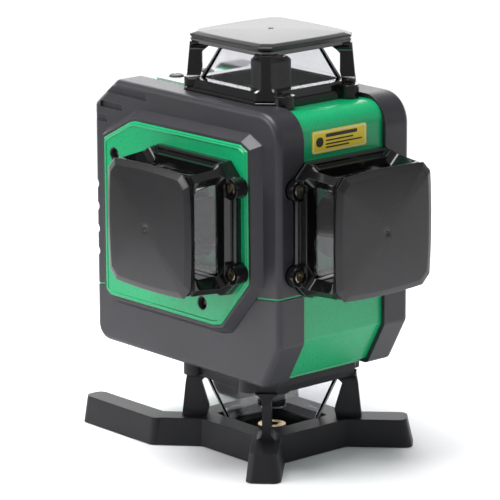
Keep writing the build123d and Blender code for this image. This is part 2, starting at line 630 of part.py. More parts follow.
def housings():
    """Green upper and lower shells, split along the seam."""
    core = body_solid(CORE_HALF_WIDTH, BUMPER_THICKNESS, CORE_TOP_RADIUS, SMALL_RADIUS / 2, CORE_ROUNDING)
    cavity = body_solid(CAVITY_HALF_WIDTH, BUMPER_THICKNESS + SHELL_WALL,
                        CORE_TOP_RADIUS - SHELL_WALL, SMALL_RADIUS / 4, 0)
    outer = body_solid(BODY_HALF_WIDTH, 0, FRONT_TOP_RADIUS, SMALL_RADIUS, BUMPER_ROUNDING)
    shell = core - cavity
    for name in ("top", "front"):
        shell = shell - SEATS[name] * cylinder(APERTURE_RADIUS, -FAR / 4, 2)
        for x, y in boss_spots():
            shell = shell + SEATS[name] * cylinder(INNER_BOSS_RADIUS, -FRAME_SCREW_REACH - BOSS_END_WALL,
                                                   -SHELL_WALL / 2, x, y)
            shell = shell - SEATS[name] * cylinder(SCREW_RADIUS + THREAD_CLEARANCE,
                                                   -FRAME_SCREW_REACH - SCREW_END_GAP, 1, x, y)
    wall_out = LEFT_FACE + CORE_HALF_WIDTH
    shell = shell - SEATS["left"] * cylinder(APERTURE_RADIUS, -FAR / 8, 2)
    for x, y in boss_spots():
        shell = shell + SEATS["left"] * cylinder(INNER_BOSS_RADIUS, -SIDE_SCREW_REACH - BOSS_END_WALL,
                                                 wall_out - SHELL_WALL / 2, x, y)
        shell = shell - SEATS["left"] * cylinder(SCREW_RADIUS + THREAD_CLEARANCE,
                                                 -SIDE_SCREW_REACH - SCREW_END_GAP, 1, x, y)
    # Bottom pad, level with the bumpers, that the stand is screwed to.
    pad_wall = GREEN_HALF_WIDTH - 0.1
    shell = shell + block(-pad_wall, pad_wall, CHIN_BACK + 5, BODY_REAR - REAR_BOTTOM_RADIUS - 4,
                          BODY_BOTTOM, CAVITY_BOTTOM - 0.5)
    shell = shell - cylinder(LOWER_APERTURE_RADIUS, BODY_BOTTOM - 1, CAVITY_BOTTOM + 5)
    for x, y in boss_spots():
        shell = shell + cylinder(INNER_BOSS_RADIUS, CORE_BOTTOM + 1,
                                 BODY_BOTTOM + FRAME_SCREW_REACH + BOSS_END_WALL, y, x)
        shell = shell - cylinder(SCREW_RADIUS + THREAD_CLEARANCE, BODY_BOTTOM - 1,
                                 BODY_BOTTOM + FRAME_SCREW_REACH + SCREW_END_GAP, y, x)
    for y in (-LUG_Y, LUG_Y):
        shell = shell + cylinder(GUIDE_RADIUS, CAVITY_BOTTOM - 1, GUIDE_TOP, 0, y)
    for x, y in yoke_screw_spots():
        shell = shell + cylinder(INNER_BOSS_RADIUS, CAVITY_TOP - YOKE_STANDOFF, CAVITY_TOP + 1, x, y)
        shell = shell - cylinder(SCREW_RADIUS + THREAD_CLEARANCE, CAVITY_TOP - YOKE_STANDOFF - 1,
                                 CAVITY_TOP - YOKE_STANDOFF + YOKE_SCREW_REACH - YOKE_PLATE + SCREW_END_GAP,
                                 x, y)
    board_top = CAVITY_TOP - BUTTON_FLOAT - BUTTON_FLANGE_HEIGHT - BUTTON_TRAVEL - BOARD_GAP
    for x, y in button_spots():
        shell = shell - cylinder(BUTTON_RADIUS + BUTTON_GAP, CAVITY_TOP - 1, CORE_TOP + 1, x, y)
    for x in (-KEYPAD_WIDTH / 2 + 1.5, KEYPAD_WIDTH / 2 - 1.5):
        shell = shell + cylinder(STANDOFF_RADIUS, board_top, CAVITY_TOP + 1, x, KEYPAD_Y)
    for y in (BOARD_FRONT + 4, BOARD_REAR - 4):
        for z in (BOARD_LOW + 4, BOARD_HIGH - 4):
            shell = shell + along_x(STANDOFF_RADIUS, BOARD_X + BOARD_THICKNESS, CAVITY_HALF_WIDTH + 1, y, z)
    # Battery opening, latch hole, lock shaft hole and charging port.
    shell = shell - block(-BATTERY_HALF_WIDTH - BATTERY_GAP, BATTERY_HALF_WIDTH + BATTERY_GAP,
                          CAVITY_REAR - 1, BODY_REAR + 1,
                          BATTERY_LOW - BATTERY_GAP, BATTERY_HIGH + BATTERY_GAP)
    shell = shell - along_y(LATCH_RADIUS + BUTTON_GAP, CAVITY_REAR - 1, BODY_REAR + 1, 0, LATCH_Z)
    shell = shell - shaft_bore(CAVITY_HALF_WIDTH - 1)
    shell = shell - port_opening(CAVITY_HALF_WIDTH - 1)
    for side, screws in ((-1, LEFT_PANEL_SCREWS), (1, RIGHT_PANEL_SCREWS)):
        for y, z in screws:
            shell = shell - along_x(SCREW_RADIUS + THREAD_CLEARANCE, side * (CAVITY_HALF_WIDTH - 1),
                                    side * (BODY_HALF_WIDTH + 1), y, z)
    line = (outer - core) & seam_slab(-SEAM_LINE / 2, SEAM_LINE / 2)
    trim = body_solid(BODY_HALF_WIDTH - SEAM_LINE_DEPTH, SEAM_LINE_DEPTH, FRONT_TOP_RADIUS, SMALL_RADIUS,
                      BUMPER_ROUNDING - SEAM_LINE_DEPTH)
    line = line & trim
    line = line - block(-GREEN_HALF_WIDTH, GREEN_HALF_WIDTH, -FAR, FAR, 0, FAR)
    line = line - SEATS["front"] * pocket(-1, 20, POCKET_CLEARANCE)
    line = line - side_plate(LEFT_PANEL, RIM_FOOT + PANEL_GAP, -BODY_HALF_WIDTH - 1, -CORE_HALF_WIDTH + 0.2)
    NODES["upper_housing"] = shell & seam_slab(0, FAR)
    lower = shell & seam_slab(-FAR, 0)
    NODES["lower_housing"] = lower + line
    return outer, core


def bumpers(outer, core):
    """Black soft covers on both sides, each in an upper and a lower piece."""
    skin = outer - core
    skin = skin - SEATS["front"] * pocket(-5, 20, POCKET_CLEARANCE)
    skin = skin - SEATS["top"] * pocket(-5, 20, POCKET_CLEARANCE)
    for x, y in boss_spots():
        skin = skin - cylinder(SCREW_RADIUS + SCREW_CLEARANCE, BODY_BOTTOM - 1, CORE_BOTTOM + 1, y, x)
    skin = skin - shaft_bore(CORE_HALF_WIDTH - 1)
    skin = skin - port_opening(CORE_HALF_WIDTH - 2)
    upper_space = seam_slab(SEAM_LINE / 2, FAR)
    lower_space = seam_slab(-FAR, -SEAM_LINE / 2)
    for name, side, outline, rise, screws in (
            ("left", -1, LEFT_PANEL, LEFT_PLATEAU, LEFT_PANEL_SCREWS),
            ("right", 1, RIGHT_PANEL, RIGHT_PLATEAU, RIGHT_PANEL_SCREWS)):
        half = skin & block(side * GREEN_HALF_WIDTH, side * FAR, -FAR, FAR, 0, FAR)
        for z in GRIP_HEIGHTS:
            corner = Pos(side * BODY_HALF_WIDTH, BODY_REAR, z)
            reach = GRIP_RADIUS - GRIP_DEPTH - (sqrt(2) - 1) * BUMPER_ROUNDING
            groove = Rot(0, 0, -side * 45) * Pos(0, reach, 0) * Rot(0, 90, 0) * Cylinder(GRIP_RADIUS, 20)
            half = half - corner * groove
        for y0, y1, z0, z1 in GROOVES:
            edge = side * BODY_HALF_WIDTH
            half = half - block(edge - side * GROOVE_DEPTH, edge + side, y0, y1, z0, z1)
        raised = plateau(outline, side, rise)
        face = side * (BODY_HALF_WIDTH + rise)
        back = face - side * min(PANEL_THICKNESS, rise + 1.0)
        bed = side_plate(outline, 0.0, back, face + side)
        seat_hole = along_x(APERTURE_RADIUS, side * (CORE_HALF_WIDTH - 1), face + side, 0, AXIS_Z)
        inside = side * (CORE_HALF_WIDTH - 1)
        upper = (half & upper_space) - side_plate(outline, RIM_FOOT - RIM_OVERLAP, inside, face) + raised
        upper = upper - bed
        lower = (half & lower_space) - side_plate(outline, RIM_FOOT + PANEL_GAP, inside, face)
        panel = side_plate(outline, -PANEL_GAP, back, face)
        panel_edges = [e for e in panel.edges() if abs(e.center().X - face) < 0.01]
        panel = chamfer(panel_edges, 0.6)
        if name == "left":
            upper = upper - seat_hole
            panel = panel - seat_hole
            for x, y in boss_spots():
                hole = SEATS["left"] * cylinder(SCREW_RADIUS + SCREW_CLEARANCE, -SIDE_SCREW_REACH, 1, x, y)
                upper = upper - hole
                panel = panel - hole
        for y, z in screws:
            hole = along_x(SCREW_RADIUS + SCREW_CLEARANCE, side * (CORE_HALF_WIDTH - 1), face + side, y, z)
            upper = upper - hole
            panel = panel - along_x(PANEL_SCREW_RECESS, back - side, face + side, y, z)
        NODES[f"{name}_upper_bumper"] = upper
        NODES[f"{name}_lower_bumper"] = lower
        NODES[f"{name}_side_panel"] = panel
    left_back = LEFT_FACE + PANEL_THICKNESS
    right_back = BODY_HALF_WIDTH + RIGHT_PLATEAU - min(PANEL_THICKNESS, RIGHT_PLATEAU + 1.0)
    left_reach = -left_back - CAVITY_HALF_WIDTH - SCREW_END_GAP
    right_reach = right_back - CAVITY_HALF_WIDTH - SCREW_END_GAP
    NODES["side_panel_screws"] = group(
        [panel_screw(-1, y, z, left_back, left_reach) for y, z in LEFT_PANEL_SCREWS]
        + [panel_screw(1, y, z, right_back, right_reach) for y, z in RIGHT_PANEL_SCREWS])


# ---- Stand ----

def leg_solid(start, end, top_half, end_draft):
    """Straight leg between two points on the floor plan, with drafted walls and a rounded end."""
    length = sqrt((end[0] - start[0]) ** 2 + (end[1] - start[1]) ** 2)
    angle = degrees(atan2(end[1] - start[1], end[0] - start[0]))
    low = Pos((length + end_draft) / 2, 0, 0) \
        * RectangleRounded(length + end_draft, 2 * (top_half + LEG_DRAFT), FOOT_ROUNDING)
    high = Pos(length / 2, 0, STAND_HEIGHT) * RectangleRounded(length, 2 * top_half, FOOT_ROUNDING)
    return Pos(start[0], start[1], 0) * Rot(0, 0, angle) * loft([low, high])


def base_stand():
    """Stand with the lower window cage, a square block and four drafted legs."""
    flange_top = BODY_BOTTOM
    flange_low = BODY_BOTTOM - STAND_FLANGE
    chamfer_top = flange_low + STAND_FLANGE_CHAMFER
    ring = frustum((FLANGE_HALF - 1.0, FLANGE_CORNER - 0.4, flange_low),
                   (FLANGE_HALF, FLANGE_CORNER, chamfer_top))
    ring = ring + square_block(FLANGE_HALF, FLANGE_CORNER, chamfer_top, flange_top)
    for x, y in boss_spots():
        ring = ring + cylinder(BOSS_RADIUS, BODY_BOTTOM - BOSS_HEIGHT, flange_top, y, x)
    ring = ring - square_block(WINDOW_HALF, 1.0, flange_low - 1, flange_top + 1)
    ring = ring - square_block(STAND_GLASS_HALF_HIGH + 0.4, 0.5, flange_low - 1, BODY_BOTTOM - GLASS_LEDGE)
    half = STAND_BLOCK_HALF
    base = frustum((half + STAND_BLOCK_DRAFT, STAND_BLOCK_CORNER, 0),
                   (half, STAND_BLOCK_CORNER, STAND_HEIGHT))
    base = base - frustum((STAND_RECESS_HALF, 1.0, STAND_RECESS_TOP),
                          (STAND_RIM_HALF, 1.0, STAND_HEIGHT + 0.01))
    base = base - square_block(STAND_RECESS_HALF, 1.0, STAND_RECESS_FLOOR, STAND_RECESS_TOP + 0.1)
    corner = FOOT_REACH / sqrt(2)
    root_x, root_y = REAR_LEG_ROOT
    dx, dy = REAR_LEG_X - root_x, REAR_LEG_BEND - root_y
    over = REAR_LEG_HALF_WIDTH * BEND_OVERRUN / sqrt(dx * dx + dy * dy)
    legs = []
    for side in (-1, 1):
        legs.append(leg_solid((side * FOOT_START, -FOOT_START), (side * corner, -corner),
                              FOOT_HALF_WIDTH, FOOT_END_DRAFT))
        legs.append(leg_solid((side * root_x, root_y),
                              (side * (REAR_LEG_X + dx * over), REAR_LEG_BEND + dy * over),
                              REAR_LEG_HALF_WIDTH, BEND_END_DRAFT))
        legs.append(leg_solid((side * REAR_LEG_X, REAR_LEG_BEND - REAR_LEG_HALF_WIDTH),
                              (side * REAR_LEG_X, REAR_LEG_END - REAR_END_DRAFT),
                              REAR_LEG_HALF_WIDTH, REAR_END_DRAFT))
    for leg in legs:
        base = base + (leg - square_block(STAND_RIM_HALF + 1, 1.0, -1, STAND_HEIGHT + 1))
    blade_low, blade_high = STAND_HEIGHT, flange_low
    envelope = frustum((STAND_POST_OUTER_LOW + 2.2, 4.4, 0), (FLANGE_HALF, FLANGE_CORNER, flange_top))
    blade = post(STAND_POST_OUTER_LOW, STAND_POST_OUTER_HIGH, STAND_POST_INNER_LOW, STAND_POST_INNER_HIGH,
                 blade_low, blade_high, envelope)
    blade = blade - frustum((STAND_GLASS_HALF_LOW + 0.5, 0.3, STAND_GLASS_END - 1),
                            (STAND_GLASS_HALF_HIGH + 0.5, 0.3, BODY_BOTTOM - GLASS_LEDGE)).rotate(Axis.Z, 45)
    stand = base + ring
    for turn in range(4):
        stand = stand + Rot(0, 0, 45 + 90 * turn) * blade
    for x, y in boss_spots():
        seat = BODY_BOTTOM - SCREW_SEAT
        stand = stand - cylinder(COUNTERBORE_RADIUS, BODY_BOTTOM - BEZEL_TOP - 4, seat, y, x)
        stand = stand - cylinder(SCREW_RADIUS + SCREW_CLEARANCE, seat - 1, BODY_BOTTOM + 1, y, x)
    stand = stand - cylinder(INSERT_RADIUS, -1, STAND_RECESS_TOP + 4)
    for x, y in pad_spots():
        stand = stand - cylinder(PAD_RADIUS + PAD_CLEARANCE, -1, PAD_RECESS, x, y)
    return stand


def pad_spots():
    """Rubber foot pads: one under each front foot and one under each rear leg's end."""
    reach = (FOOT_REACH - FOOT_PAD_INSET) / sqrt(2)
    rear = REAR_LEG_END - REAR_PAD_INSET
    return [(-reach, -reach), (reach, -reach), (-REAR_LEG_X, rear), (REAR_LEG_X, rear)]


# ---- Lasers, pendulum and gimbal ----

def tube(length_in):
    """Laser tube: thin barrel with a closed, drilled tip under its window."""
    barrel = cylinder(TUBE_RADIUS, length_in, TUBE_TIP)
    barrel = chamfer([e for e in barrel.edges() if e.center().Z > TUBE_TIP - 0.01], TUBE_CHAMFER)
    barrel = barrel - cylinder(TUBE_RADIUS - TUBE_WALL, length_in - 1, TUBE_TIP - TUBE_TIP_WALL)
    return barrel - cylinder(TUBE_LENS_RADIUS, TUBE_TIP - TUBE_TIP_WALL - 1, TUBE_TIP + 1)


def sleeve():
    """Clear tube that holds a cone mirror over the laser."""
    top = mirror_base()
    bore = cylinder(SLEEVE_RADIUS - SLEEVE_WALL, TUBE_TIP - 1, top + 1)
    return cylinder(SLEEVE_RADIUS, TUBE_TIP, top) - bore


def mirror_base():
    """Height of a cone mirror's wide end above its window's seat."""
    return TUBE_TIP + MIRROR_TIP_GAP + MIRROR_RADIUS


def cone_mirror():
    """45-degree cone with its point towards the laser, on a disc that sits on the sleeve."""
    top = mirror_base()
    cone = Pos(0, 0, top - MIRROR_RADIUS / 2) * Cone(0.02, MIRROR_RADIUS, MIRROR_RADIUS)
    return cone + cylinder(SLEEVE_RADIUS, top, top + MIRROR_DISC)


def moment(parts, density):
    """First moments of mass about the pivot axis, along X and Y."""
    mass_x = mass_y = 0.0
    for piece in parts:
        centre = piece.center(CenterOf.MASS)
        mass = density * piece.volume
        mass_x += mass * centre.X
        mass_y += mass * centre.Y
    return mass_x, mass_y


def weight_length(needed, start):
    """Length of a round brass weight that starts at a face and gives the needed moment."""
    per_length = BRASS_DENSITY * pi * WEIGHT_RADIUS ** 2
    return -start + sqrt(start * start + 2 * needed / per_length)


def pendulum():
    """Hanging frame with four laser tubes, mirrors, magnets and balance weights."""
    fit = TUBE_RADIUS + TUBE_FIT
    frame = joined([
        block(-BLOCK_HALF, BLOCK_HALF, -BLOCK_HALF, BLOCK_HALF, BLOCK_LOW, BLOCK_HIGH),
        cylinder(NECK_RADIUS, BLOCK_HIGH - 1, NECK_TOP),
        cylinder(COLLAR_RADIUS, BRAKE_FLANGE_TOP - BRAKE_FLANGE_HEIGHT, BLOCK_LOW + 1),
        cylinder(BRAKE_FLANGE_RADIUS, BRAKE_FLANGE_TOP - BRAKE_FLANGE_HEIGHT, BRAKE_FLANGE_TOP),
        along_y(COLLAR_RADIUS, -FRONT_COLLAR_END, -BLOCK_HALF + 1, 0, AXIS_Z),
        along_x(COLLAR_RADIUS, -SIDE_COLLAR_END, -BLOCK_HALF + 1, 0, AXIS_Z),
        block(-ARM_HALF_WIDTH, ARM_HALF_WIDTH, COLLAR_RADIUS - 4, BLOCK_HALF + ARM_LENGTH,
              ARM_LOW, ARM_LOW + ARM_THICKNESS)])
    frame = frame & (Pos(0, 0, PIVOT_Z) * Sphere(BRAKE_RADIUS))
    frame = frame - cylinder(fit, BLOCK_HIGH, NECK_TOP + 1)
    frame = frame - cylinder(fit, BRAKE_FLANGE_TOP - 10, BLOCK_LOW)
    frame = frame - along_y(fit, -FRONT_COLLAR_END - 1, -BLOCK_HALF, 0, AXIS_Z)
    frame = frame - along_x(fit, -SIDE_COLLAR_END - 1, -BLOCK_HALF, 0, AXIS_Z)
    for side in (-1, 1):
        frame = frame - along_y(BEARING_BORE, side * (fit - 0.5), side * (NECK_RADIUS + 1), 0, PIVOT_Z)
    rear = {"top": BLOCK_HIGH - CORE_TOP, "front": CORE_FRONT + BLOCK_HALF,
            "left": LEFT_FACE + BLOCK_HALF, "bottom": BODY_BOTTOM - BLOCK_LOW}
    tubes, mirrors, sleeves = [], [], []
    for name, seat in SEATS.items():
        NODES[f"{name}_laser_tube"] = seat * tube(rear[name])
        NODES[f"{name}_cone_mirror"] = seat * cone_mirror()
        tubes.append(NODES[f"{name}_laser_tube"])
        mirrors.append(NODES[f"{name}_cone_mirror"])
        sleeves.append(seat * sleeve())
    NODES["cone_sleeves"] = group(sleeves)
    magnets = [cylinder(MAGNET_RADIUS, ARM_LOW - MAGNET_HEIGHT, ARM_LOW, x, MAGNET_Y)
               for x in (-MAGNET_SPACING, MAGNET_SPACING)]
    NODES["damper_magnets"] = group(magnets)
    pins = [along_y(BEARING_BORE - PIN_CLEARANCE, side * PENDULUM_PIN_START,
                    side * PENDULUM_PIN_END, 0, PIVOT_Z) for side in (-1, 1)]
    NODES["pendulum_pivot_pins"] = group(pins)
    light = moment([frame] + tubes, ALUMINIUM_DENSITY)
    clear = moment(mirrors + sleeves, GLASS_DENSITY)
    dark = moment(magnets, STEEL_DENSITY)
    need_x = -(light[0] + clear[0] + dark[0])
    need_y = -(light[1] + clear[1] + dark[1])
    side_end = BLOCK_HALF + weight_length(need_x, BLOCK_HALF)
    rear_end = BLOCK_HALF + weight_length(need_y, BLOCK_HALF)
    side_weight = along_x(WEIGHT_RADIUS, BLOCK_HALF, side_end, 0, AXIS_Z)
    rear_weight = along_y(WEIGHT_RADIUS, BLOCK_HALF, rear_end, 0, AXIS_Z)
    NODES["balance_weights"] = group([side_weight, rear_weight])
    NODES["pendulum_frame"] = frame


def gimbal():
    """Yoke fixed to the upper housing, and the ring between yoke and pendulum."""
    ring = cylinder(RING_OUTER, PIVOT_Z - RING_HEIGHT / 2, PIVOT_Z + RING_HEIGHT / 2) \
        - cylinder(RING_INNER, PIVOT_Z - RING_HEIGHT, PIVOT_Z + RING_HEIGHT)
    bearings = []
    for side in (-1, 1):
        inner = side * (BEARING_OFFSET - BEARING_WIDTH / 2)
        outer = side * (BEARING_OFFSET + BEARING_WIDTH / 2)
        for along in (along_x, along_y):
            where = (0, PIVOT_Z)
            ring = ring - along(BEARING_RADIUS + BEARING_SEAT_CLEARANCE, inner, outer, *where)
            ring = ring - along(BEARING_BORE + PIN_HOLE_GAP, side * (RING_INNER - 2),
                                side * (RING_OUTER + 2), *where)
            bearings.append(along(BEARING_RADIUS, inner, outer, *where)
                            - along(BEARING_BORE, inner - side, outer + side, *where))
    NODES["gimbal_ring"] = ring
    NODES["gimbal_bearings"] = group(bearings)
    NODES["yoke_pivot_pins"] = group(
        [along_x(BEARING_BORE - PIN_CLEARANCE, side * YOKE_PIN_START, side * YOKE_PIN_END, 0, PIVOT_Z)
         for side in (-1, 1)])
    plate_top = CAVITY_TOP - YOKE_STANDOFF
    plate_low = plate_top - YOKE_PLATE
    yoke = block(-YOKE_PLATE_HALF_X, YOKE_PLATE_HALF_X, -YOKE_PLATE_HALF_Y, YOKE_PLATE_HALF_Y,
                 plate_low, plate_top)
    yoke = yoke - cylinder(YOKE_HOLE_RADIUS, plate_low - 1, plate_top + 1)
    for side in (-1, 1):
        arm = block(side * YOKE_ARM_INNER, side * YOKE_ARM_OUTER, -YOKE_ARM_HALF, YOKE_ARM_HALF,
                    YOKE_ARM_LOW, plate_low + 1)
        yoke = yoke + arm
        yoke = yoke - along_x(BEARING_BORE, side * (YOKE_ARM_INNER - 1),
                              side * (YOKE_ARM_OUTER - PIN_HOLE_WALL), 0, PIVOT_Z)
    screws = []
    for x, y in yoke_screw_spots():
        yoke = yoke - cylinder(SCREW_RADIUS + SCREW_CLEARANCE, plate_low - 1, plate_top + 1, x, y)
        screws.append(cylinder(SCREW_HEAD_RADIUS, plate_low - SCREW_HEAD_HEIGHT, plate_low, x, y)
                      + cylinder(SCREW_RADIUS, plate_low, plate_low + YOKE_SCREW_REACH, x, y))
    NODES["gimbal_yoke"] = yoke
    NODES["yoke_screws"] = group(screws)


def damper():
    """Bent aluminium plate under the magnets, standing on the housing floor."""
    top = block(-DAMPER_HALF_WIDTH, DAMPER_HALF_WIDTH, DAMPER_FRONT, DAMPER_REAR,
                DAMPER_TOP - DAMPER_THICKNESS, DAMPER_TOP)
    leg = block(-DAMPER_HALF_WIDTH, DAMPER_HALF_WIDTH, DAMPER_REAR - DAMPER_THICKNESS, DAMPER_REAR,
                CAVITY_BOTTOM, DAMPER_TOP)
    return top + leg


# ---- Lock ----

def shaft_height():
    """Height of the lock shaft, from the arm it lifts."""
    return LOCK_RING_LOW - CAM_GAP - CAM_RADIUS + LOCK_LIFT


def lock_ring():
    """Brake ring under the pendulum's flange, on two guide posts, with an arm over the cam."""
    ring = cylinder(LOCK_RING_OUTER, LOCK_RING_LOW, LOCK_RING_TOP)
    for y in (-LUG_Y, LUG_Y):
        ring = ring + cylinder(LUG_RADIUS, LOCK_RING_LOW, LOCK_RING_LOW + LUG_THICKNESS, 0, y)
    ring = ring + block(LOCK_RING_OUTER - 2, LOCK_ARM_END, -LOCK_ARM_HALF, LOCK_ARM_HALF,
                        LOCK_RING_LOW, LOCK_RING_LOW + LOCK_ARM_THICKNESS)
    ring = ring - cylinder(LOCK_RING_INNER, LOCK_RING_LOW - 1, LOCK_RING_TOP + 1)
    for y in (-LUG_Y, LUG_Y):
        ring = ring - cylinder(GUIDE_RADIUS + GUIDE_GAP, LOCK_RING_LOW - 1, LOCK_RING_TOP + 1, 0, y)
    return ring


def lock_knob():
    """Ribbed knob with its shaft and the eccentric cam that lifts the brake ring."""
    z = shaft_height()
    cam = along_x(CAM_RADIUS, SHAFT_START - CAM_WIDTH, SHAFT_START, 0, z - LOCK_LIFT)
    knob_low = BODY_HALF_WIDTH + KNOB_GAP
    shaft = along_x(SHAFT_RADIUS, SHAFT_START, knob_low + 1, 0, z)
    head = along_x(KNOB_RADIUS, knob_low, knob_low + KNOB_HEIGHT, 0, z)
    head = chamfer([e for e in head.edges() if e.center().X > knob_low + KNOB_HEIGHT - 0.01], KNOB_CHAMFER)
    for index in range(KNOB_RIBS):
        angle = 2 * pi * index / KNOB_RIBS
        head = head - along_x(KNOB_RIB_RADIUS, knob_low + KNOB_SKIRT, knob_low + KNOB_HEIGHT + 1,
                              KNOB_RADIUS * cos(angle), z + KNOB_RADIUS * sin(angle))
    pointer = block(knob_low + KNOB_HEIGHT - POINTER_DEPTH, knob_low + KNOB_HEIGHT + 1,
                    -POINTER_HALF, POINTER_HALF, z + POINTER_START, z + KNOB_RADIUS - 2 * KNOB_CHAMFER)
    return cam + shaft + (head - pointer)


# ---- Keypad, battery and charging ----

def keypad():
    """Panel on the rear of the top, four buttons through it and the board below."""
    plate = Pos(0, KEYPAD_Y, 0) * extrude(
        Pos(0, 0, CORE_TOP) * RectangleRounded(KEYPAD_WIDTH, KEYPAD_LENGTH, KEYPAD_CORNER),
        KEYPAD_THICKNESS)
    top = CORE_TOP + KEYPAD_THICKNESS + BUTTON_PROUD
    flange_top = CAVITY_TOP - BUTTON_FLOAT
    board_top = flange_top - BUTTON_FLANGE_HEIGHT - BUTTON_TRAVEL - BOARD_GAP
    names = ("power_button", "horizontal_line_button", "vertical_line_button", "pulse_button")
    for name, (x, y) in zip(names, button_spots()):
        plate = plate - cylinder(BUTTON_RADIUS + BUTTON_GAP, CORE_TOP - 1, CORE_TOP + 3, x, y)
        stem = cylinder(BUTTON_RADIUS, flange_top - 0.1, top, x, y)
        stem = fillet([e for e in stem.edges() if e.center().Z > top - 0.01], BUTTON_ROUNDING)
        NODES[name] = stem + cylinder(BUTTON_FLANGE, flange_top - BUTTON_FLANGE_HEIGHT, flange_top, x, y)
    NODES["keypad_panel"] = plate
    NODES["keypad_board"] = block(-KEYPAD_WIDTH / 2, KEYPAD_WIDTH / 2,
                                  KEYPAD_Y - KEYPAD_BOARD_HALF, KEYPAD_Y + KEYPAD_BOARD_HALF,
                                  board_top - BOARD_THICKNESS, board_top)


def battery():
    """Rear battery pack with two round cells, its bay, contacts and release button."""
    wide, low, high = BATTERY_HALF_WIDTH, BATTERY_LOW, BATTERY_HIGH
    rear = BODY_REAR - BATTERY_INSET
    pack = block(-wide, wide, BATTERY_FRONT, rear, low, high)
    pack = fillet([e for e in pack.edges() if abs(e.center().Y - rear) < 0.01], BATTERY_ROUNDING)
    inside = block(-wide + BATTERY_WALL, wide - BATTERY_WALL, BATTERY_FRONT + BATTERY_WALL,
                   rear - BATTERY_WALL, low + BATTERY_WALL, high - BATTERY_WALL)
    pack = pack - inside
    for index in range(PACK_GROOVES):
        z = low + PACK_GROOVE_START + index * PACK_GROOVE_PITCH
        pack = pack - block(-PACK_GROOVE_HALF_LENGTH, PACK_GROOVE_HALF_LENGTH, rear - PACK_GROOVE_DEPTH,
                            rear + 1, z - PACK_GROOVE_HALF_WIDTH, z + PACK_GROOVE_HALF_WIDTH)
    NODES["battery_pack"] = pack
    middle_y = (BATTERY_FRONT + rear) / 2
    middle_z = (low + high) / 2
    cell_low, cell_high = middle_z - CELL_LENGTH / 2, middle_z + CELL_LENGTH / 2
    NODES["battery_cells"] = group([cylinder(CELL_RADIUS, cell_low, cell_high, x, middle_y)
                                    for x in (-CELL_X, CELL_X)])
    gap = BATTERY_GAP
    front = BATTERY_FRONT - CONTACT_LENGTH
    bay = block(-wide - gap - BAY_WALL, wide + gap + BAY_WALL, front - BAY_WALL, CAVITY_REAR - 0.1,
                low - gap - BAY_WALL, high + gap + BAY_WALL)
    bay = bay - block(-wide - gap, wide + gap, front, CAVITY_REAR + 1, low - gap, high + gap)
    NODES["battery_bay"] = bay
    NODES["battery_contacts"] = group([along_y(CONTACT_RADIUS, front, BATTERY_FRONT - 0.05, x, low + 6)
                                       for x in (-CONTACT_X, CONTACT_X)])
    press = along_y(LATCH_RADIUS, CAVITY_REAR - 0.5, CORE_REAR + LATCH_PROUD, 0, LATCH_Z)
    back = along_y(LATCH_RADIUS + LATCH_FLANGE, CAVITY_REAR - 2.0, CAVITY_REAR - LATCH_FLOAT, 0, LATCH_Z)
    NODES["battery_latch"] = press + back


def charging():
    """Charging socket in the side wall, its soft cover and the main board."""
    inner = BODY_HALF_WIDTH - 1.2 - SOCKET_DEPTH
    outer = BODY_HALF_WIDTH - 1.2 - COVER_PLUG
    half_y, half_z = SOCKET_WIDTH / 2 - SOCKET_WALL, SOCKET_HEIGHT / 2 - SOCKET_WALL
    socket = block(inner, outer, SOCKET_Y - half_y, SOCKET_Y + half_y, SOCKET_Z - half_z, SOCKET_Z + half_z)
    mouth = block(inner + 1, outer + 1, SOCKET_Y - PORT_WIDTH / 2, SOCKET_Y + PORT_WIDTH / 2,
                  SOCKET_Z - PORT_HEIGHT / 2, SOCKET_Z + PORT_HEIGHT / 2)
    NODES["charge_socket"] = socket - mouth
    low = BODY_HALF_WIDTH + COVER_GAP
    flap = block(low, low + COVER_THICKNESS, SOCKET_Y - COVER_WIDTH / 2, SOCKET_Y + COVER_WIDTH / 2,
                 SOCKET_Z - COVER_HEIGHT / 2, SOCKET_Z + COVER_HEIGHT / 2)
    flap = fillet([e for e in flap.edges() if abs(e.center().X - low - COVER_THICKNESS) < 0.01], 0.6)
    plug = block(BODY_HALF_WIDTH - 1.0, low + 0.1, SOCKET_Y - COVER_PLUG_HALF_WIDTH,
                 SOCKET_Y + COVER_PLUG_HALF_WIDTH, SOCKET_Z - COVER_PLUG_HALF_HEIGHT,
                 SOCKET_Z + COVER_PLUG_HALF_HEIGHT)
    bead = cylinder(COVER_BEAD_RADIUS, SOCKET_Z - COVER_HEIGHT / 2, SOCKET_Z + COVER_HEIGHT / 2,
                    low + COVER_THICKNESS / 2, SOCKET_Y - COVER_WIDTH / 2 - COVER_BEAD_RADIUS / 2)
    NODES["port_cover"] = flap + plug + bead
    NODES["main_board"] = block(BOARD_X, BOARD_X + BOARD_THICKNESS, BOARD_FRONT, BOARD_REAR,
                                BOARD_LOW, BOARD_HIGH)


# ---- Build ----

outer_body, core_body = housings()
bumpers(outer_body, core_body)

frame_shape = window_frame()
cap_shape = cap()
pane_shape = glass_set(GLASS_HALF_LOW, GLASS_HALF_HIGH, GLASS_START, GLASS_END)
for seat_name in ("top", "front", "left"):
    NODES[f"{seat_name}_window_frame"] = SEATS[seat_name] * frame_shape
    NODES[f"{seat_name}_cap"] = SEATS[seat_name] * cap_shape
    NODES[f"{seat_name}_window_glass"] = group([SEATS[seat_name] * pane_shape])
lower_panes = glass_set(STAND_GLASS_HALF_HIGH, STAND_GLASS_HALF_LOW, GLASS_START,
                        BODY_BOTTOM - STAND_GLASS_END)
NODES["bottom_window_glass"] = group([SEATS["bottom"] * lower_panes])

screws = []
for seat_name, seat_place in SEATS.items():
    reach = SIDE_SCREW_REACH if seat_name == "left" else FRAME_SCREW_REACH
    screws += [seat_place * Pos(x, y, 0) * frame_screw(reach) for x, y in boss_spots()]
NODES["window_frame_screws"] = group(screws)

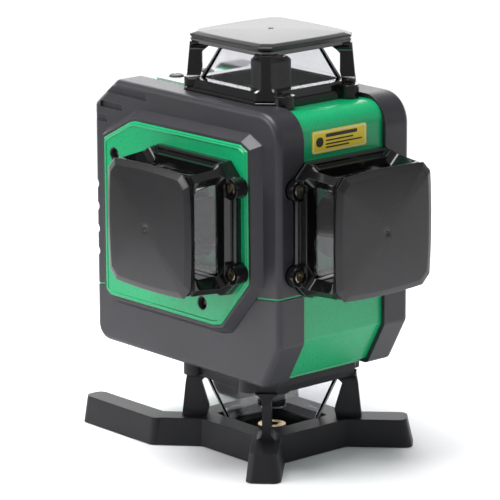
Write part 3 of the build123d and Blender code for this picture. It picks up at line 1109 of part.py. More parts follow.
NODES["base_stand"] = base_stand()
insert_bore = cylinder(TRIPOD_THREAD_RADIUS, -1, INSERT_LENGTH + 1)
NODES["tripod_insert"] = cylinder(INSERT_RADIUS, 0, INSERT_LENGTH) - insert_bore
NODES["foot_pads"] = group([cylinder(PAD_RADIUS, PAD_RECESS - PAD_THICKNESS, PAD_RECESS, x, y)
                            for x, y in pad_spots()])
label_face = Plane.XZ.offset(-CORE_FRONT) * Pos(LABEL_X, LABEL_Z) \
    * RectangleRounded(LABEL_WIDTH, LABEL_HEIGHT, LABEL_CORNER)
NODES["label_plate"] = extrude(label_face, LABEL_THICKNESS)
pendulum()
gimbal()
NODES["damping_plate"] = damper()
NODES["lock_ring"] = lock_ring()
NODES["lock_knob"] = lock_knob()
keypad()
battery()
charging()

os.makedirs("parts", exist_ok=True)
for node_name, node_shape in NODES.items():
    export_step(node_shape, f"parts/{node_name}.step")
print(len(NODES), "nodes")
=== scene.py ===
"""Looks of a multi-line laser level: its finishes, small fittings, covers, light and camera."""

import json
import logging
import math
from collections.abc import Callable
from dataclasses import dataclass, field
from enum import Enum

import bmesh
import bpy
from mathutils import Matrix, Vector


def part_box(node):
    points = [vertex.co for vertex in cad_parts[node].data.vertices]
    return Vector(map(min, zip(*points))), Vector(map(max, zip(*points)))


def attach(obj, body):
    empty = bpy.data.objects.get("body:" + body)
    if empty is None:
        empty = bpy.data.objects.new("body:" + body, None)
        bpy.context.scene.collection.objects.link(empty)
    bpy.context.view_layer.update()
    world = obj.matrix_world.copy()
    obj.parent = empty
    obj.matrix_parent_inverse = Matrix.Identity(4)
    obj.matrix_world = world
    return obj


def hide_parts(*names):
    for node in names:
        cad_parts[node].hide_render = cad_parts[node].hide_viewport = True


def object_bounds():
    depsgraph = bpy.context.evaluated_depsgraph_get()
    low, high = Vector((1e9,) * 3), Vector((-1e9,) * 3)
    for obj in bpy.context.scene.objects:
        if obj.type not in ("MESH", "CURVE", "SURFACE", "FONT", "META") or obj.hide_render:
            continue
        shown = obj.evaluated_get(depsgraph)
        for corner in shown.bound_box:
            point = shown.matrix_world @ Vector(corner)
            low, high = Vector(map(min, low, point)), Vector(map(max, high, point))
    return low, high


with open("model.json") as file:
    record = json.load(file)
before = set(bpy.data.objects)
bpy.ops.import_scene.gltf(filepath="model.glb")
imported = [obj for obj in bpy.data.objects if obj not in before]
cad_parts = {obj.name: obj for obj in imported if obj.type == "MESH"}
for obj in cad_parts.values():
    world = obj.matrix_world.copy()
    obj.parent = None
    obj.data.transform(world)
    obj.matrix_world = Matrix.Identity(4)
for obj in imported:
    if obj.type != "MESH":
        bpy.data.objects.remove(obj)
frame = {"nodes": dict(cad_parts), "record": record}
CAD_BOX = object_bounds()

log = logging.getLogger("laser_level")
MM = 0.001
Tree, Node, Socket = bpy.types.NodeTree, bpy.types.Node, bpy.types.NodeSocket
Mesh, Material, Object = bpy.types.Mesh, bpy.types.Material, bpy.types.Object
RGB = tuple[float, float, float]
DUST_COLOUR: RGB = (0.30, 0.295, 0.28)


# ---- Places ----

class Window(Enum):
    """The four windows, by the face of the body they stand on."""

    TOP = "top"
    FRONT = "front"
    LEFT = "left"
    BOTTOM = "bottom"


@dataclass(frozen=True)
class Seat:
    """Where a window stands: its seat plane's centre and the way it faces."""

    origin: Vector
    outward: Vector
    along: Vector

    def matrix(self) -> Matrix:
        """Matrix from the window's own frame, Z outwards and screw bosses along Y, to the model's."""
        across = self.along.cross(self.outward)
        rows = Matrix((across, self.along, self.outward)).transposed()
        return Matrix.Translation(self.origin) @ rows.to_4x4()


def window_seats() -> dict[Window, Seat]:
    """Seat of each window, read from the frame's own parts.

    Returns:
        One seat for each window.
    """
    top_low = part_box("top_window_frame")[0]
    front_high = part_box("front_window_frame")[1]
    left_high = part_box("left_window_frame")[1]
    front_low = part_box("front_window_frame")[0]
    stand_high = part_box("base_stand")[1]
    axis_z = (front_low.z + front_high.z) / 2
    return {
        Window.TOP: Seat(Vector((0, 0, top_low.z)), Vector((0, 0, 1)), Vector((0, 1, 0))),
        Window.FRONT: Seat(Vector((0, front_high.y, axis_z)), Vector((0, -1, 0)), Vector((1, 0, 0))),
        Window.LEFT: Seat(Vector((left_high.x, 0, axis_z)), Vector((-1, 0, 0)), Vector((0, 1, 0))),
        Window.BOTTOM: Seat(Vector((0, 0, stand_high.z)), Vector((0, 0, -1)), Vector((1, 0, 0))),
    }


# ---- Shader node groups ----

def new_group(name: str, inputs: dict[str, float], outputs: list[str]) -> Tree:
    """Empty shader group with a vector input, number inputs and number outputs.

    Args:
        name: Name of the group.
        inputs: Number inputs with their usual values.
        outputs: Names of the number outputs.

    Returns:
        The group's node tree, with its input and output nodes in place.
    """
    tree = bpy.data.node_groups.new(name, "ShaderNodeTree")
    tree.interface.new_socket("Vector", in_out="INPUT", socket_type="NodeSocketVector")
    for label, value in inputs.items():
        socket = tree.interface.new_socket(label, in_out="INPUT", socket_type="NodeSocketFloat")
        socket.default_value = value
    for label in outputs:
        tree.interface.new_socket(label, in_out="OUTPUT", socket_type="NodeSocketFloat")
    tree.nodes.new("NodeGroupInput").name = "In"
    tree.nodes.new("NodeGroupOutput").name = "Out"
    return tree


def feed(tree: Tree, value: object, socket: Socket) -> None:
    """Links a value that is a socket to an input, or sets the input to a plain value.

    Args:
        tree: Tree that both are in.
        value: Number, tuple or socket.
        socket: The input.
    """
    if isinstance(value, Socket):
        tree.links.new(value, socket)
    else:
        socket.default_value = value


def maths(tree: Tree, operation: str, a: object, b: object) -> Socket:
    """Math node between two values or sockets.

    Args:
        tree: Tree to add the node to.
        operation: Blender's name for the operation.
        a: First number or socket.
        b: Second number or socket.

    Returns:
        The node's output socket.
    """
    node = tree.nodes.new("ShaderNodeMath")
    node.operation = operation
    for slot, value in enumerate((a, b)):
        feed(tree, value, node.inputs[slot])
    return node.outputs[0]


def times(tree: Tree, a: object, b: object) -> Socket:
    """Product of two numbers or sockets."""
    return maths(tree, "MULTIPLY", a, b)


def plus(tree: Tree, a: object, b: object) -> Socket:
    """Sum of two numbers or sockets."""
    return maths(tree, "ADD", a, b)


def noise(tree: Tree, vector: Socket, scale: object, detail: float = 2.0, rough: float = 0.5) -> Socket:
    """Noise texture's factor for a vector and a scale.

    Args:
        tree: Tree to add the node to.
        vector: Coordinates.
        scale: Number or socket.
        detail: Octaves.
        rough: Weight of the finer octaves.

    Returns:
        The noise's factor.
    """
    node = tree.nodes.new("ShaderNodeTexNoise")
    for label, value in (("Detail", detail), ("Roughness", rough), ("Vector", vector), ("Scale", scale)):
        feed(tree, value, node.inputs[label])
    return node.outputs["Fac"]


def remap(tree: Tree, value: Socket, low: float, high: float,
          to_low: float = 0.0, to_high: float = 1.0) -> Socket:
    """Map Range node, clamped, from one range to another.

    Args:
        tree: Tree to add the node to.
        value: Socket to change.
        low: Start of its range.
        high: End of its range.
        to_low: What the start becomes.
        to_high: What the end becomes.

    Returns:
        The changed value.
    """
    node = tree.nodes.new("ShaderNodeMapRange")
    tree.links.new(value, node.inputs["Value"])
    for label, number in (("From Min", low), ("From Max", high), ("To Min", to_low), ("To Max", to_high)):
        node.inputs[label].default_value = number
    return node.outputs["Result"]


class Effects:
    """Shared surface effects, each a node group that is built once."""

    FINE_CELLS = 2600.0
    COARSE_GRAIN = 1400.0
    WIDE_TONE = 22.0
    SMALL_TONE = 160.0
    SPECKS = 900.0
    DUSTY_PATCHES = 35.0
    HAIRLINES = 60.0

    def __init__(self) -> None:
        """Builds every group."""
        self.grain = self._grain()
        self.mottle = self._mottle()
        self.dust = self._dust()
        self.scratches = self._scratches()

    @staticmethod
    def _grain() -> Tree:
        """Spark-eroded mould texture: fine cells over softer noise, as a height.

        Returns:
            The group's node tree.
        """
        tree = new_group("moulded_grain", {"Scale": 1.0}, ["Height", "Value"])
        source = tree.nodes["In"].outputs
        cells = tree.nodes.new("ShaderNodeTexVoronoi")
        cells.feature = "SMOOTH_F1"
        tree.links.new(source["Vector"], cells.inputs["Vector"])
        fine = times(tree, source["Scale"], Effects.FINE_CELLS)
        tree.links.new(fine, cells.inputs["Scale"])
        wider = times(tree, source["Scale"], Effects.COARSE_GRAIN)
        coarse = noise(tree, source["Vector"], wider, 3.0, 0.6)
        height = plus(tree, times(tree, cells.outputs["Distance"], 0.55), times(tree, coarse, 0.45))
        tree.links.new(height, tree.nodes["Out"].inputs["Height"])
        tree.links.new(remap(tree, height, 0.2, 0.7), tree.nodes["Out"].inputs["Value"])
        return tree

    @staticmethod
    def _mottle() -> Tree:
        """Slow change of tone over a moulding, from flow and handling.

        Returns:
            The group's node tree.
        """
        tree = new_group("mottle", {"Scale": 1.0}, ["Value"])
        source = tree.nodes["In"].outputs
        scale = source["Scale"]
        wide = noise(tree, source["Vector"], times(tree, scale, Effects.WIDE_TONE), 3.0, 0.55)
        small = noise(tree, source["Vector"], times(tree, scale, Effects.SMALL_TONE), 2.0, 0.5)
        both = plus(tree, times(tree, wide, 0.7), times(tree, small, 0.3))
        tree.links.new(remap(tree, both, 0.32, 0.68), tree.nodes["Out"].inputs["Value"])
        return tree

    @staticmethod
    def _dust() -> Tree:
        """Sparse specks, thicker on faces that look up.

        Returns:
            The group's node tree.
        """
        tree = new_group("dust", {"Amount": 0.5}, ["Mask"])
        source = tree.nodes["In"].outputs
        specks = noise(tree, source["Vector"], Effects.SPECKS, 2.0, 0.7)
        patches = noise(tree, source["Vector"], Effects.DUSTY_PATCHES, 3.0, 0.6)
        facing = tree.nodes.new("ShaderNodeSeparateXYZ")
        tree.links.new(tree.nodes.new("ShaderNodeNewGeometry").outputs["Normal"], facing.inputs[0])
        upward = remap(tree, facing.outputs["Z"], -0.2, 1.0, 0.25, 1.0)
        mask = times(tree, remap(tree, specks, 0.60, 0.74), remap(tree, patches, 0.42, 0.7))
        mask = times(tree, times(tree, mask, upward), source["Amount"])
        tree.links.new(mask, tree.nodes["Out"].inputs["Mask"])
        return tree

    @staticmethod
    def _scratches() -> Tree:
        """Fine hairlines in two directions on glossy faces.

        Returns:
            The group's node tree.
        """
        tree = new_group("hairlines", {"Scale": 1.0}, ["Mask"])
        source = tree.nodes["In"].outputs
        masks = []
        for turn, stretch in ((0.5, 22.0), (-0.9, 30.0)):
            mapping = tree.nodes.new("ShaderNodeMapping")
            mapping.inputs["Rotation"].default_value = (turn, turn * 0.7, turn * 1.3)
            mapping.inputs["Scale"].default_value = (stretch, 1.0, stretch * 0.4)
            tree.links.new(source["Vector"], mapping.inputs["Vector"])
            fine = times(tree, source["Scale"], Effects.HAIRLINES)
            lines = noise(tree, mapping.outputs["Vector"], fine, 1.0)
            masks.append(remap(tree, lines, 0.66, 0.72))
        tree.links.new(maths(tree, "MAXIMUM", masks[0], masks[1]), tree.nodes["Out"].inputs["Mask"])
        return tree


# ---- Finishes ----

@dataclass(frozen=True)
class Finish:
    """A surface finish. Subclasses say how its colour, roughness and relief vary."""

    name: str
    colour: RGB
    roughness: float

    def start(self, **settings: float) -> tuple[Material, Tree, Node, Socket]:
        """New material with a Principled shader.

        Args:
            settings: Values of the shader's inputs by name, with underscores for spaces.

        Returns:
            The material, its tree, the shader node and the object-coordinate socket.
        """
        material = bpy.data.materials.new(self.name)
        material.use_nodes = True
        tree = material.node_tree
        shader = tree.nodes["Principled BSDF"]
        shader.inputs["Base Color"].default_value = (*self.colour, 1.0)
        for label, value in {"Roughness": self.roughness, **settings}.items():
            shader.inputs[label.replace("_", " ")].default_value = value
        vector = tree.nodes.new("ShaderNodeTexCoord").outputs["Object"]
        return material, tree, shader, vector

    @staticmethod
    def effect(tree: Tree, group: Tree, vector: Socket, **values: float) -> Node:
        """Places a shared effect in a material.

        Args:
            tree: The material's tree.
            group: The effect's node group.
            vector: Coordinates for its pattern.
            values: Its inputs by name.

        Returns:
            The group node.
        """
        node = tree.nodes.new("ShaderNodeGroup")
        node.node_tree = group
        tree.links.new(vector, node.inputs["Vector"])
        for label, value in values.items():
            node.inputs[label].default_value = value
        return node

    @staticmethod
    def mix(tree: Tree, factor: Socket, first: object, second: object) -> Socket:
        """Colour mix of two colours or sockets by a factor.

        Args:
            tree: Tree to add the node to.
            factor: How much of the second.
            first: Colour or socket.
            second: Colour or socket.

        Returns:
            The mixed colour.
        """
        node = tree.nodes.new("ShaderNodeMix")
        node.data_type = "RGBA"
        tree.links.new(factor, node.inputs["Factor"])
        for label, value in (("A", first), ("B", second)):
            socket = [s for s in node.inputs if s.name == label and s.type == "RGBA"][0]
            feed(tree, value if isinstance(value, Socket) else (*value, 1.0), socket)
        return [s for s in node.outputs if s.type == "RGBA"][0]

    @staticmethod
    def relief(tree: Tree, shader: Node, height: Socket,
               distance: float, strength: float, edge: float) -> None:
        """Bump on top of slightly rounded edges.

        Args:
            tree: The material's tree.
            shader: Its Principled shader.
            height: Height of the bump.
            distance: Depth of the bump in metres.
            strength: Strength of the bump.
            edge: Radius of the rounding that edges seem to have, in metres.
        """
        bump = tree.nodes.new("ShaderNodeBump")
        bump.inputs["Distance"].default_value = distance
        bump.inputs["Strength"].default_value = strength
        tree.links.new(height, bump.inputs["Height"])
        if edge > 0:
            rounding = tree.nodes.new("ShaderNodeBevel")
            rounding.samples = 4
            rounding.inputs["Radius"].default_value = edge
            tree.links.new(rounding.outputs["Normal"], bump.inputs["Normal"])
        tree.links.new(bump.outputs["Normal"], shader.inputs["Normal"])

    def build(self, effects: Effects) -> Material:
        """Material of this finish, which each kind makes in its own way."""
        raise NotImplementedError


@dataclass(frozen=True)
class MouldedPlastic(Finish):
    """Injection-moulded plastic or rubber with grain, tone and a little dust."""

    grain_scale: float = 1.0
    grain_depth: float = 0.00002
    grain_strength: float = 0.3
    tone: float = 0.12
    dust: float = 0.25
    edge: float = 0.0003
    coat: float = 0.0
    specular: float = 0.5
    sheen: float = 0.0
    hairlines: float = 0.0
    coat_roughness: float = 0.08
    grain_spread: float = 0.08
    dust_roughness: float = 0.4

    def build(self, effects: Effects) -> Material:
        """Material of this finish.

        Args:
            effects: The shared effects.

        Returns:
            The new material.
        """
        material, tree, shader, vector = self.start(
            Specular_IOR_Level=self.specular, Coat_Weight=self.coat, Coat_Roughness=self.coat_roughness,
            Sheen_Weight=self.sheen)
        grain = self.effect(tree, effects.grain, vector, Scale=self.grain_scale)
        mottle = self.effect(tree, effects.mottle, vector, Scale=1.0)
        dust = self.effect(tree, effects.dust, vector, Amount=self.dust)
        dark = tuple(c * (1 - self.tone) for c in self.colour)
        light = tuple(min(1.0, c * (1 + self.tone) + 0.002) for c in self.colour)
        base = self.mix(tree, mottle.outputs["Value"], dark, light)
        base = self.mix(tree, dust.outputs["Mask"], base, DUST_COLOUR)
        tree.links.new(base, shader.inputs["Base Color"])
        spread = times(tree, grain.outputs["Value"], self.grain_spread)
        rough = plus(tree, self.roughness - self.grain_spread / 2, spread)
        rough = plus(tree, rough, times(tree, dust.outputs["Mask"], self.dust_roughness))
        if self.hairlines:
            lines = self.effect(tree, effects.scratches, vector, Scale=1.0)
            rough = plus(tree, rough, times(tree, lines.outputs["Mask"], self.hairlines))
        tree.links.new(rough, shader.inputs["Roughness"])
        self.relief(tree, shader, grain.outputs["Height"], self.grain_depth, self.grain_strength, self.edge)
        return material


@dataclass(frozen=True)
class WorkedMetal(Finish):
    """Turned, ground or cast metal with directional marks and light tarnish."""

    stretch: tuple[float, float, float] = (1.0, 1.0, 12.0)
    tarnish: RGB = (0.2, 0.17, 0.13)
    tarnish_amount: float = 0.3
    edge: float = 0.00012
    line_scale: float = 700.0
    line_spread: float = 0.16
    line_depth: float = 0.00001
    line_strength: float = 0.25

    def build(self, effects: Effects) -> Material:
        """Material of this finish.

        Args:
            effects: The shared effects.

        Returns:
            The new material.
        """
        material, tree, shader, vector = self.start(Metallic=1.0)
        mapping = tree.nodes.new("ShaderNodeMapping")
        mapping.inputs["Scale"].default_value = self.stretch
        tree.links.new(vector, mapping.inputs["Vector"])
        lines = noise(tree, mapping.outputs["Vector"], self.line_scale, 3.0, 0.6)
        mottle = self.effect(tree, effects.mottle, vector, Scale=3.0)
        stain = times(tree, mottle.outputs["Value"], self.tarnish_amount)
        tree.links.new(self.mix(tree, stain, self.colour, self.tarnish), shader.inputs["Base Color"])
        rough = plus(tree, self.roughness - self.line_spread / 2, times(tree, lines, self.line_spread))
        tree.links.new(rough, shader.inputs["Roughness"])
        self.relief(tree, shader, lines, self.line_depth, self.line_strength, self.edge)
        return material


@dataclass(frozen=True)
class ClearGlass(Finish):
    """Flat window glass with a faint haze of dust and wiping marks."""

    ior: float = 1.5
    haze: float = 0.05
    dust: float = 0.8
    dust_roughness: float = 0.3

    def build(self, effects: Effects) -> Material:
        """Material of this finish.

        Args:
            effects: The shared effects.

        Returns:
            The new material.
        """
        material, tree, shader, vector = self.start(Transmission_Weight=1.0, IOR=self.ior)
        dust = self.effect(tree, effects.dust, vector, Amount=self.dust)
        mottle = self.effect(tree, effects.mottle, vector, Scale=1.4)
        haze = times(tree, mottle.outputs["Value"], self.haze)
        rough = plus(tree, haze, times(tree, dust.outputs["Mask"], self.dust_roughness))
        tree.links.new(plus(tree, rough, self.roughness), shader.inputs["Roughness"])
        pale = tuple(min(1.0, c * 1.05) for c in self.colour)
        tint = self.mix(tree, mottle.outputs["Value"], self.colour, pale)
        tree.links.new(tint, shader.inputs["Base Color"])
        return material


@dataclass(frozen=True)
class CircuitBoard(Finish):
    """Solder mask with traces under it."""

    trace_scale: float = 320.0
    trace_depth: float = 0.00003
    coat: float = 0.4

    def build(self, effects: Effects) -> Material:
        """Material of this finish.

        Args:
            effects: The shared effects.

        Returns:
            The new material.
        """
        material, tree, shader, vector = self.start(Coat_Weight=self.coat)
        traces = tree.nodes.new("ShaderNodeTexVoronoi")
        traces.distance = "MANHATTAN"
        traces.feature = "F1"
        traces.inputs["Scale"].default_value = self.trace_scale
        tree.links.new(vector, traces.inputs["Vector"])
        lines = remap(tree, traces.outputs["Distance"], 0.38, 0.44)
        lighter = tuple(min(1.0, c * 1.9 + 0.01) for c in self.colour)
        tree.links.new(self.mix(tree, lines, self.colour, lighter), shader.inputs["Base Color"])
        self.relief(tree, shader, lines, self.trace_depth, 0.5, 0.0)
        return material


def finishes() -> dict[str, Finish]:
    """Every finish by its key.

    Returns:
        Finishes by name.
    """
    listed = [
        MouldedPlastic("green_shell", (0.0, 0.34, 0.125), 0.29, grain_scale=0.6,
                       grain_depth=0.000006, grain_strength=0.1, tone=0.07, dust=0.03, edge=0.0005,
                       coat=0.05),
        MouldedPlastic("bumper", (0.019, 0.018, 0.023), 0.42, grain_scale=0.55, grain_depth=0.00005,
                       grain_strength=0.5, tone=0.16, dust=0.06, edge=0.0006, specular=0.5, sheen=0.02),
        MouldedPlastic("cage", (0.004, 0.004, 0.0045), 0.12, grain_scale=0.5, grain_depth=0.000004,
                       grain_strength=0.1, tone=0.2, dust=0.05, edge=0.0005, hairlines=0.08, specular=0.6),
        MouldedPlastic("cap", (0.006, 0.006, 0.007), 0.30, grain_scale=0.8, grain_depth=0.00001,
                       grain_strength=0.35, tone=0.2, dust=0.05, edge=0.0003, specular=0.5),
        MouldedPlastic("stand", (0.006, 0.006, 0.008), 0.5, grain_scale=0.6, grain_depth=0.00003,
                       grain_strength=0.4, tone=0.18, dust=0.04, edge=0.0006, specular=0.32),
        ClearGlass("window_glass", (0.93, 0.93, 0.95), 0.03, ior=1.55, haze=0.03),
        ClearGlass("smoked_glass", (0.05, 0.05, 0.055), 0.08, ior=1.45, haze=0.05),
        MouldedPlastic("glass_edge", (0.46, 0.47, 0.48), 0.35, grain_scale=1.2, tone=0.2,
                       dust=0.3, edge=0.0002),
        WorkedMetal("mirror", (0.86, 0.88, 0.89), 0.10, tarnish_amount=0.08),
        WorkedMetal("screw_steel", (0.36, 0.32, 0.24), 0.26, tarnish=(0.05, 0.04, 0.03)),
        WorkedMetal("screw_bright", (0.62, 0.61, 0.58), 0.24, tarnish_amount=0.2),
        WorkedMetal("brass_part", (0.66, 0.47, 0.24), 0.30, tarnish=(0.30, 0.19, 0.09)),
        WorkedMetal("alloy", (0.60, 0.61, 0.63), 0.38, tarnish=(0.42, 0.42, 0.43)),
        MouldedPlastic("black_alloy", (0.004, 0.004, 0.0045), 0.6, grain_scale=1.6,
                       grain_strength=0.2, tone=0.2, dust=0.02, edge=0.0003, specular=0.15),
        MouldedPlastic("label", (0.80, 0.62, 0.015), 0.42, grain_scale=2.0, grain_depth=0.000004,
                       tone=0.05, dust=0.12, edge=0.0001),
        MouldedPlastic("label_border", (0.80, 0.76, 0.52), 0.42, grain_scale=2.0,
                       grain_depth=0.000004, tone=0.05, dust=0.1, edge=0.0001),
        MouldedPlastic("label_print", (0.02, 0.02, 0.018), 0.5, grain_scale=2.0,
                       grain_depth=0.000004, tone=0.2, dust=0.1, edge=0.0),
        MouldedPlastic("keypad", (0.42, 0.44, 0.45), 0.36, grain_scale=1.4, tone=0.06, dust=0.2),
        MouldedPlastic("button", (0.06, 0.06, 0.065), 0.55, grain_scale=1.0, tone=0.15, dust=0.25),
        MouldedPlastic("button_print", (0.62, 0.63, 0.62), 0.5, grain_scale=2.0, tone=0.1, dust=0.1),
        CircuitBoard("board", (0.012, 0.10, 0.04), 0.35),
        MouldedPlastic("inner_plastic", (0.022, 0.022, 0.025), 0.45, grain_scale=0.9,
                       tone=0.15, dust=0.2, edge=0.0004),
        MouldedPlastic("pad_rubber", (0.02, 0.02, 0.021), 0.75, grain_scale=0.8, tone=0.2,
                       dust=0.3, sheen=0.1),
        WorkedMetal("steel_part", (0.52, 0.52, 0.53), 0.28),
        MouldedPlastic("cell", (0.05, 0.15, 0.40), 0.28, grain_scale=1.5, tone=0.08, dust=0.05, coat=0.3),
    ]
    return {finish.name: finish for finish in listed}


# ---- Mesh helpers ----

Ring = list[Vector]
Profile = tuple[tuple[float, float], ...]


def shaped(profile: Callable[[float], float], height: float, count: int) -> Ring:
    """Points about Z whose radius is a function of the angle.

    Args:
        profile: Radius at an angle.
        height: Height of the ring.
        count: Number of points.

    Returns:
        Points in order.
    """
    ring = []
    for i in range(count):
        angle = 2 * math.pi * i / count
        radius = profile(angle)
        ring.append(Vector((radius * math.cos(angle), radius * math.sin(angle), height)))
    return ring


def circle(radius: float, height: float, count: int) -> Ring:
    """Points of a circle about Z."""
    return shaped(lambda angle: radius, height, count)


def turned(profile: Profile, count: int) -> list[Ring]:
    """Rings of a turned shape from its radii and heights."""
    return [circle(radius, height, count) for radius, height in profile]


def finished(work: bmesh.types.BMesh, name: str) -> Mesh:
    """Plain mesh of a bmesh, which is freed.

    Args:
        work: The bmesh.
        name: Name of the mesh.

    Returns:
        The mesh, with faces pointing outwards.
    """
    bmesh.ops.recalc_face_normals(work, faces=work.faces)
    mesh = bpy.data.meshes.new(name)
    work.to_mesh(mesh)
    work.free()
    return mesh


def bridge(work: bmesh.types.BMesh, lower: list[bmesh.types.BMVert], upper: list[bmesh.types.BMVert]
           ) -> list[bmesh.types.BMFace]:
    """Band of faces between two rings of the same number of vertices.

    Args:
        work: The bmesh.
        lower: First ring.
        upper: Second ring.

    Returns:
        The new faces.
    """
    faces = []
    for i in range(len(lower)):
        j = (i + 1) % len(lower)
        faces.append(work.faces.new((lower[i], lower[j], upper[j], upper[i])))
    return faces


def loft(rings: list[Ring], name: str, closed: bool = False) -> Mesh:
    """Closed mesh through rings of the same number of points.

    Args:
        rings: Rings in order, all turning the same way.
        name: Name of the mesh.
        closed: Whether it comes back to the first ring, such as a washer. Else both ends are capped.

    Returns:
        The mesh, with faces pointing outwards.
    """
    work = bmesh.new()
    made = [[work.verts.new(point) for point in ring] for ring in rings]
    for lower, upper in zip(made, made[1:] + (made[:1] if closed else [])):
        bridge(work, lower, upper)
    if not closed:
        work.faces.new(list(reversed(made[0])))
        work.faces.new(made[-1])
    return finished(work, name)


def smooth(mesh: Mesh, angle: float = 30.0) -> Mesh:
    """Smooth shading with edges sharper than an angle kept crisp.

    Args:
        mesh: Mesh to shade.
        angle: Angle in degrees past which an edge is crisp.

    Returns:
        The same mesh.
    """
    mesh.polygons.foreach_set("use_smooth", [True] * len(mesh.polygons))
    mesh.set_sharp_from_angle(angle=math.radians(angle))
    return mesh


def new_object(name: str, data: bpy.types.ID) -> Object:
    """New object with its data, linked to the scene.

    Args:
        name: Name of the object.
        data: Mesh, light or camera.

    Returns:
        The object.
    """
    made = bpy.data.objects.new(name, data)
    bpy.context.scene.collection.objects.link(made)
    return made


def add_piece(name: str, mesh: Mesh, body: str, materials: list[Material]) -> Object:
    """Links a finished mesh as a piece that rides on a body.

    Args:
        name: Name of the piece.
        mesh: Its mesh, in place.
        body: Body that it moves with.
        materials: Materials in the order of its face indices.

    Returns:
        The new object.
    """
    if len(mesh.materials):
        mesh.materials.clear()
    for material in materials:
        mesh.materials.append(material)
    piece = new_object(name, mesh)
    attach(piece, body)
    log.info("%s: %d faces on %s", name, len(mesh.polygons), body)
    return piece


# ---- Geometry Nodes ----

@dataclass
class Generator:
    """A Geometry Nodes tree whose named inputs are set by identifier and whose mesh is made plain."""

    name: str
    material: Material
    tree: Tree = field(init=False)
    source: Node = field(init=False)
    inputs: dict[str, str] = field(init=False, default_factory=dict)

    def open_tree(self, inputs: dict[str, str]) -> None:
        """Starts the tree with its interface.

        Args:
            inputs: Kind of socket for each input besides the geometry and the material.
        """
        self.tree = bpy.data.node_groups.new(self.name, "GeometryNodeTree")
        face = self.tree.interface
        face.new_socket("Geometry", in_out="INPUT", socket_type="NodeSocketGeometry")
        for label, kind in {**inputs, "Material": "Material"}.items():
            socket = face.new_socket(label, in_out="INPUT", socket_type=f"NodeSocket{kind}")
            self.inputs[label] = socket.identifier
        face.new_socket("Geometry", in_out="OUTPUT", socket_type="NodeSocketGeometry")
        self.source = self.tree.nodes.new("NodeGroupInput")

    def node(self, kind: str, **inputs: object) -> Node:
        """New node with its inputs set or linked.

        Args:
            kind: Blender's name for the node, after GeometryNode.
            inputs: Values or sockets by the input's name, with underscores for spaces.

        Returns:
            The node.
        """
        made = self.tree.nodes.new(f"GeometryNode{kind}")
        for label, value in inputs.items():
            feed(self.tree, value, made.inputs[label.replace("_", " ")])
        return made

    def close_tree(self, shape: Socket) -> None:
        """Realises the shape, gives it the material and puts it out.

        Args:
            shape: Socket with the geometry.
        """
        real = self.node("RealizeInstances", Geometry=shape)
        dress = self.node("SetMaterial", Geometry=real.outputs[0], Material=self.source.outputs["Material"])
        target = self.tree.nodes.new("NodeGroupOutput")
        self.tree.links.new(dress.outputs["Geometry"], target.inputs["Geometry"])

    def run(self, base: Mesh, values: dict[str, object]) -> Mesh:
        """Plain mesh that the tree makes of a base mesh.

        Args:
            base: Mesh that the tree starts from.
            values: Values of the inputs.

        Returns:
            The plain mesh.
        """
        carrier = new_object(self.name + "_carrier", base)
        modifier = carrier.modifiers.new("nodes", "NODES")
        modifier.node_group = self.tree
        for label, value in {**values, "Material": self.material}.items():
            modifier[self.inputs[label]] = value
        graph = bpy.context.evaluated_depsgraph_get()
        graph.update()
        result = bpy.data.meshes.new_from_object(carrier.evaluated_get(graph))
        result.name = self.name
        if "turn" in result.attributes:
            result.attributes.remove(result.attributes["turn"])
        carrier.modifiers.clear()
        bpy.data.objects.remove(carrier)
        return result


@dataclass
class Repeater(Generator):
    """Sets one form at many places."""

    form: Mesh
    size: float = 1.0

    def mesh(self, places: list[Matrix]) -> Mesh:
        """Plain mesh of the form at every place.

        Args:
            places: Where each copy goes, without scaling.

        Returns:
            The realised mesh.
        """
        self.open_tree({"Prototype": "Object", "Size": "Float"})
        points = self.node("MeshToPoints", Mesh=self.source.outputs["Geometry"])
        info = self.node("ObjectInfo", Object=self.source.outputs["Prototype"], As_Instance=True)
        turn = self.tree.nodes.new("GeometryNodeInputNamedAttribute")
        turn.data_type = "FLOAT_VECTOR"
        turn.inputs["Name"].default_value = "turn"
        placed = self.node("InstanceOnPoints", Points=points.outputs["Points"],
                           Instance=info.outputs["Geometry"], Scale=self.source.outputs["Size"],
                           Rotation=[s for s in turn.outputs if s.enabled][0])
        self.close_tree(placed.outputs["Instances"])
        seeds = bpy.data.meshes.new(self.name + "_seeds")
        seeds.from_pydata([place.translation for place in places], [], [])
        turns = seeds.attributes.new("turn", "FLOAT_VECTOR", "POINT")
        turns.data.foreach_set("vector", [angle for place in places for angle in place.to_euler()])
        prototype = new_object(self.name + "_form", smooth(self.form))
        result = self.run(seeds, {"Prototype": prototype, "Size": self.size})
        bpy.data.objects.remove(prototype)
        return result


@dataclass
class Bead(Generator):
    """Runs a round bead along edges."""

    radius: float
    sides: int = 8

    def mesh(self, lines: list[Ring]) -> Mesh:
        """Plain mesh of the bead along each line of points.

        Args:
            lines: Open lines of points.

        Returns:
            The realised mesh.
        """
        self.open_tree({"Radius": "Float", "Sides": "Int"})
        curve = self.node("MeshToCurve", Mesh=self.source.outputs["Geometry"])
        ring = self.node("CurvePrimitiveCircle", Radius=self.source.outputs["Radius"],
                         Resolution=self.source.outputs["Sides"])
        sweep = self.node("CurveToMesh", Curve=curve.outputs["Curve"], Profile_Curve=ring.outputs["Curve"],
                          Fill_Caps=True)
        self.close_tree(sweep.outputs["Mesh"])
        verts, edges = [], []
        for line in lines:
            first = len(verts)
            verts += [tuple(point) for point in line]
            edges += [(first + i, first + i + 1) for i in range(len(line) - 1)]
        base = bpy.data.meshes.new(self.name + "_lines")
        base.from_pydata(verts, edges, [])
        return self.run(base, {"Radius": self.radius, "Sides": self.sides})


# ---- Sub-assemblies ----

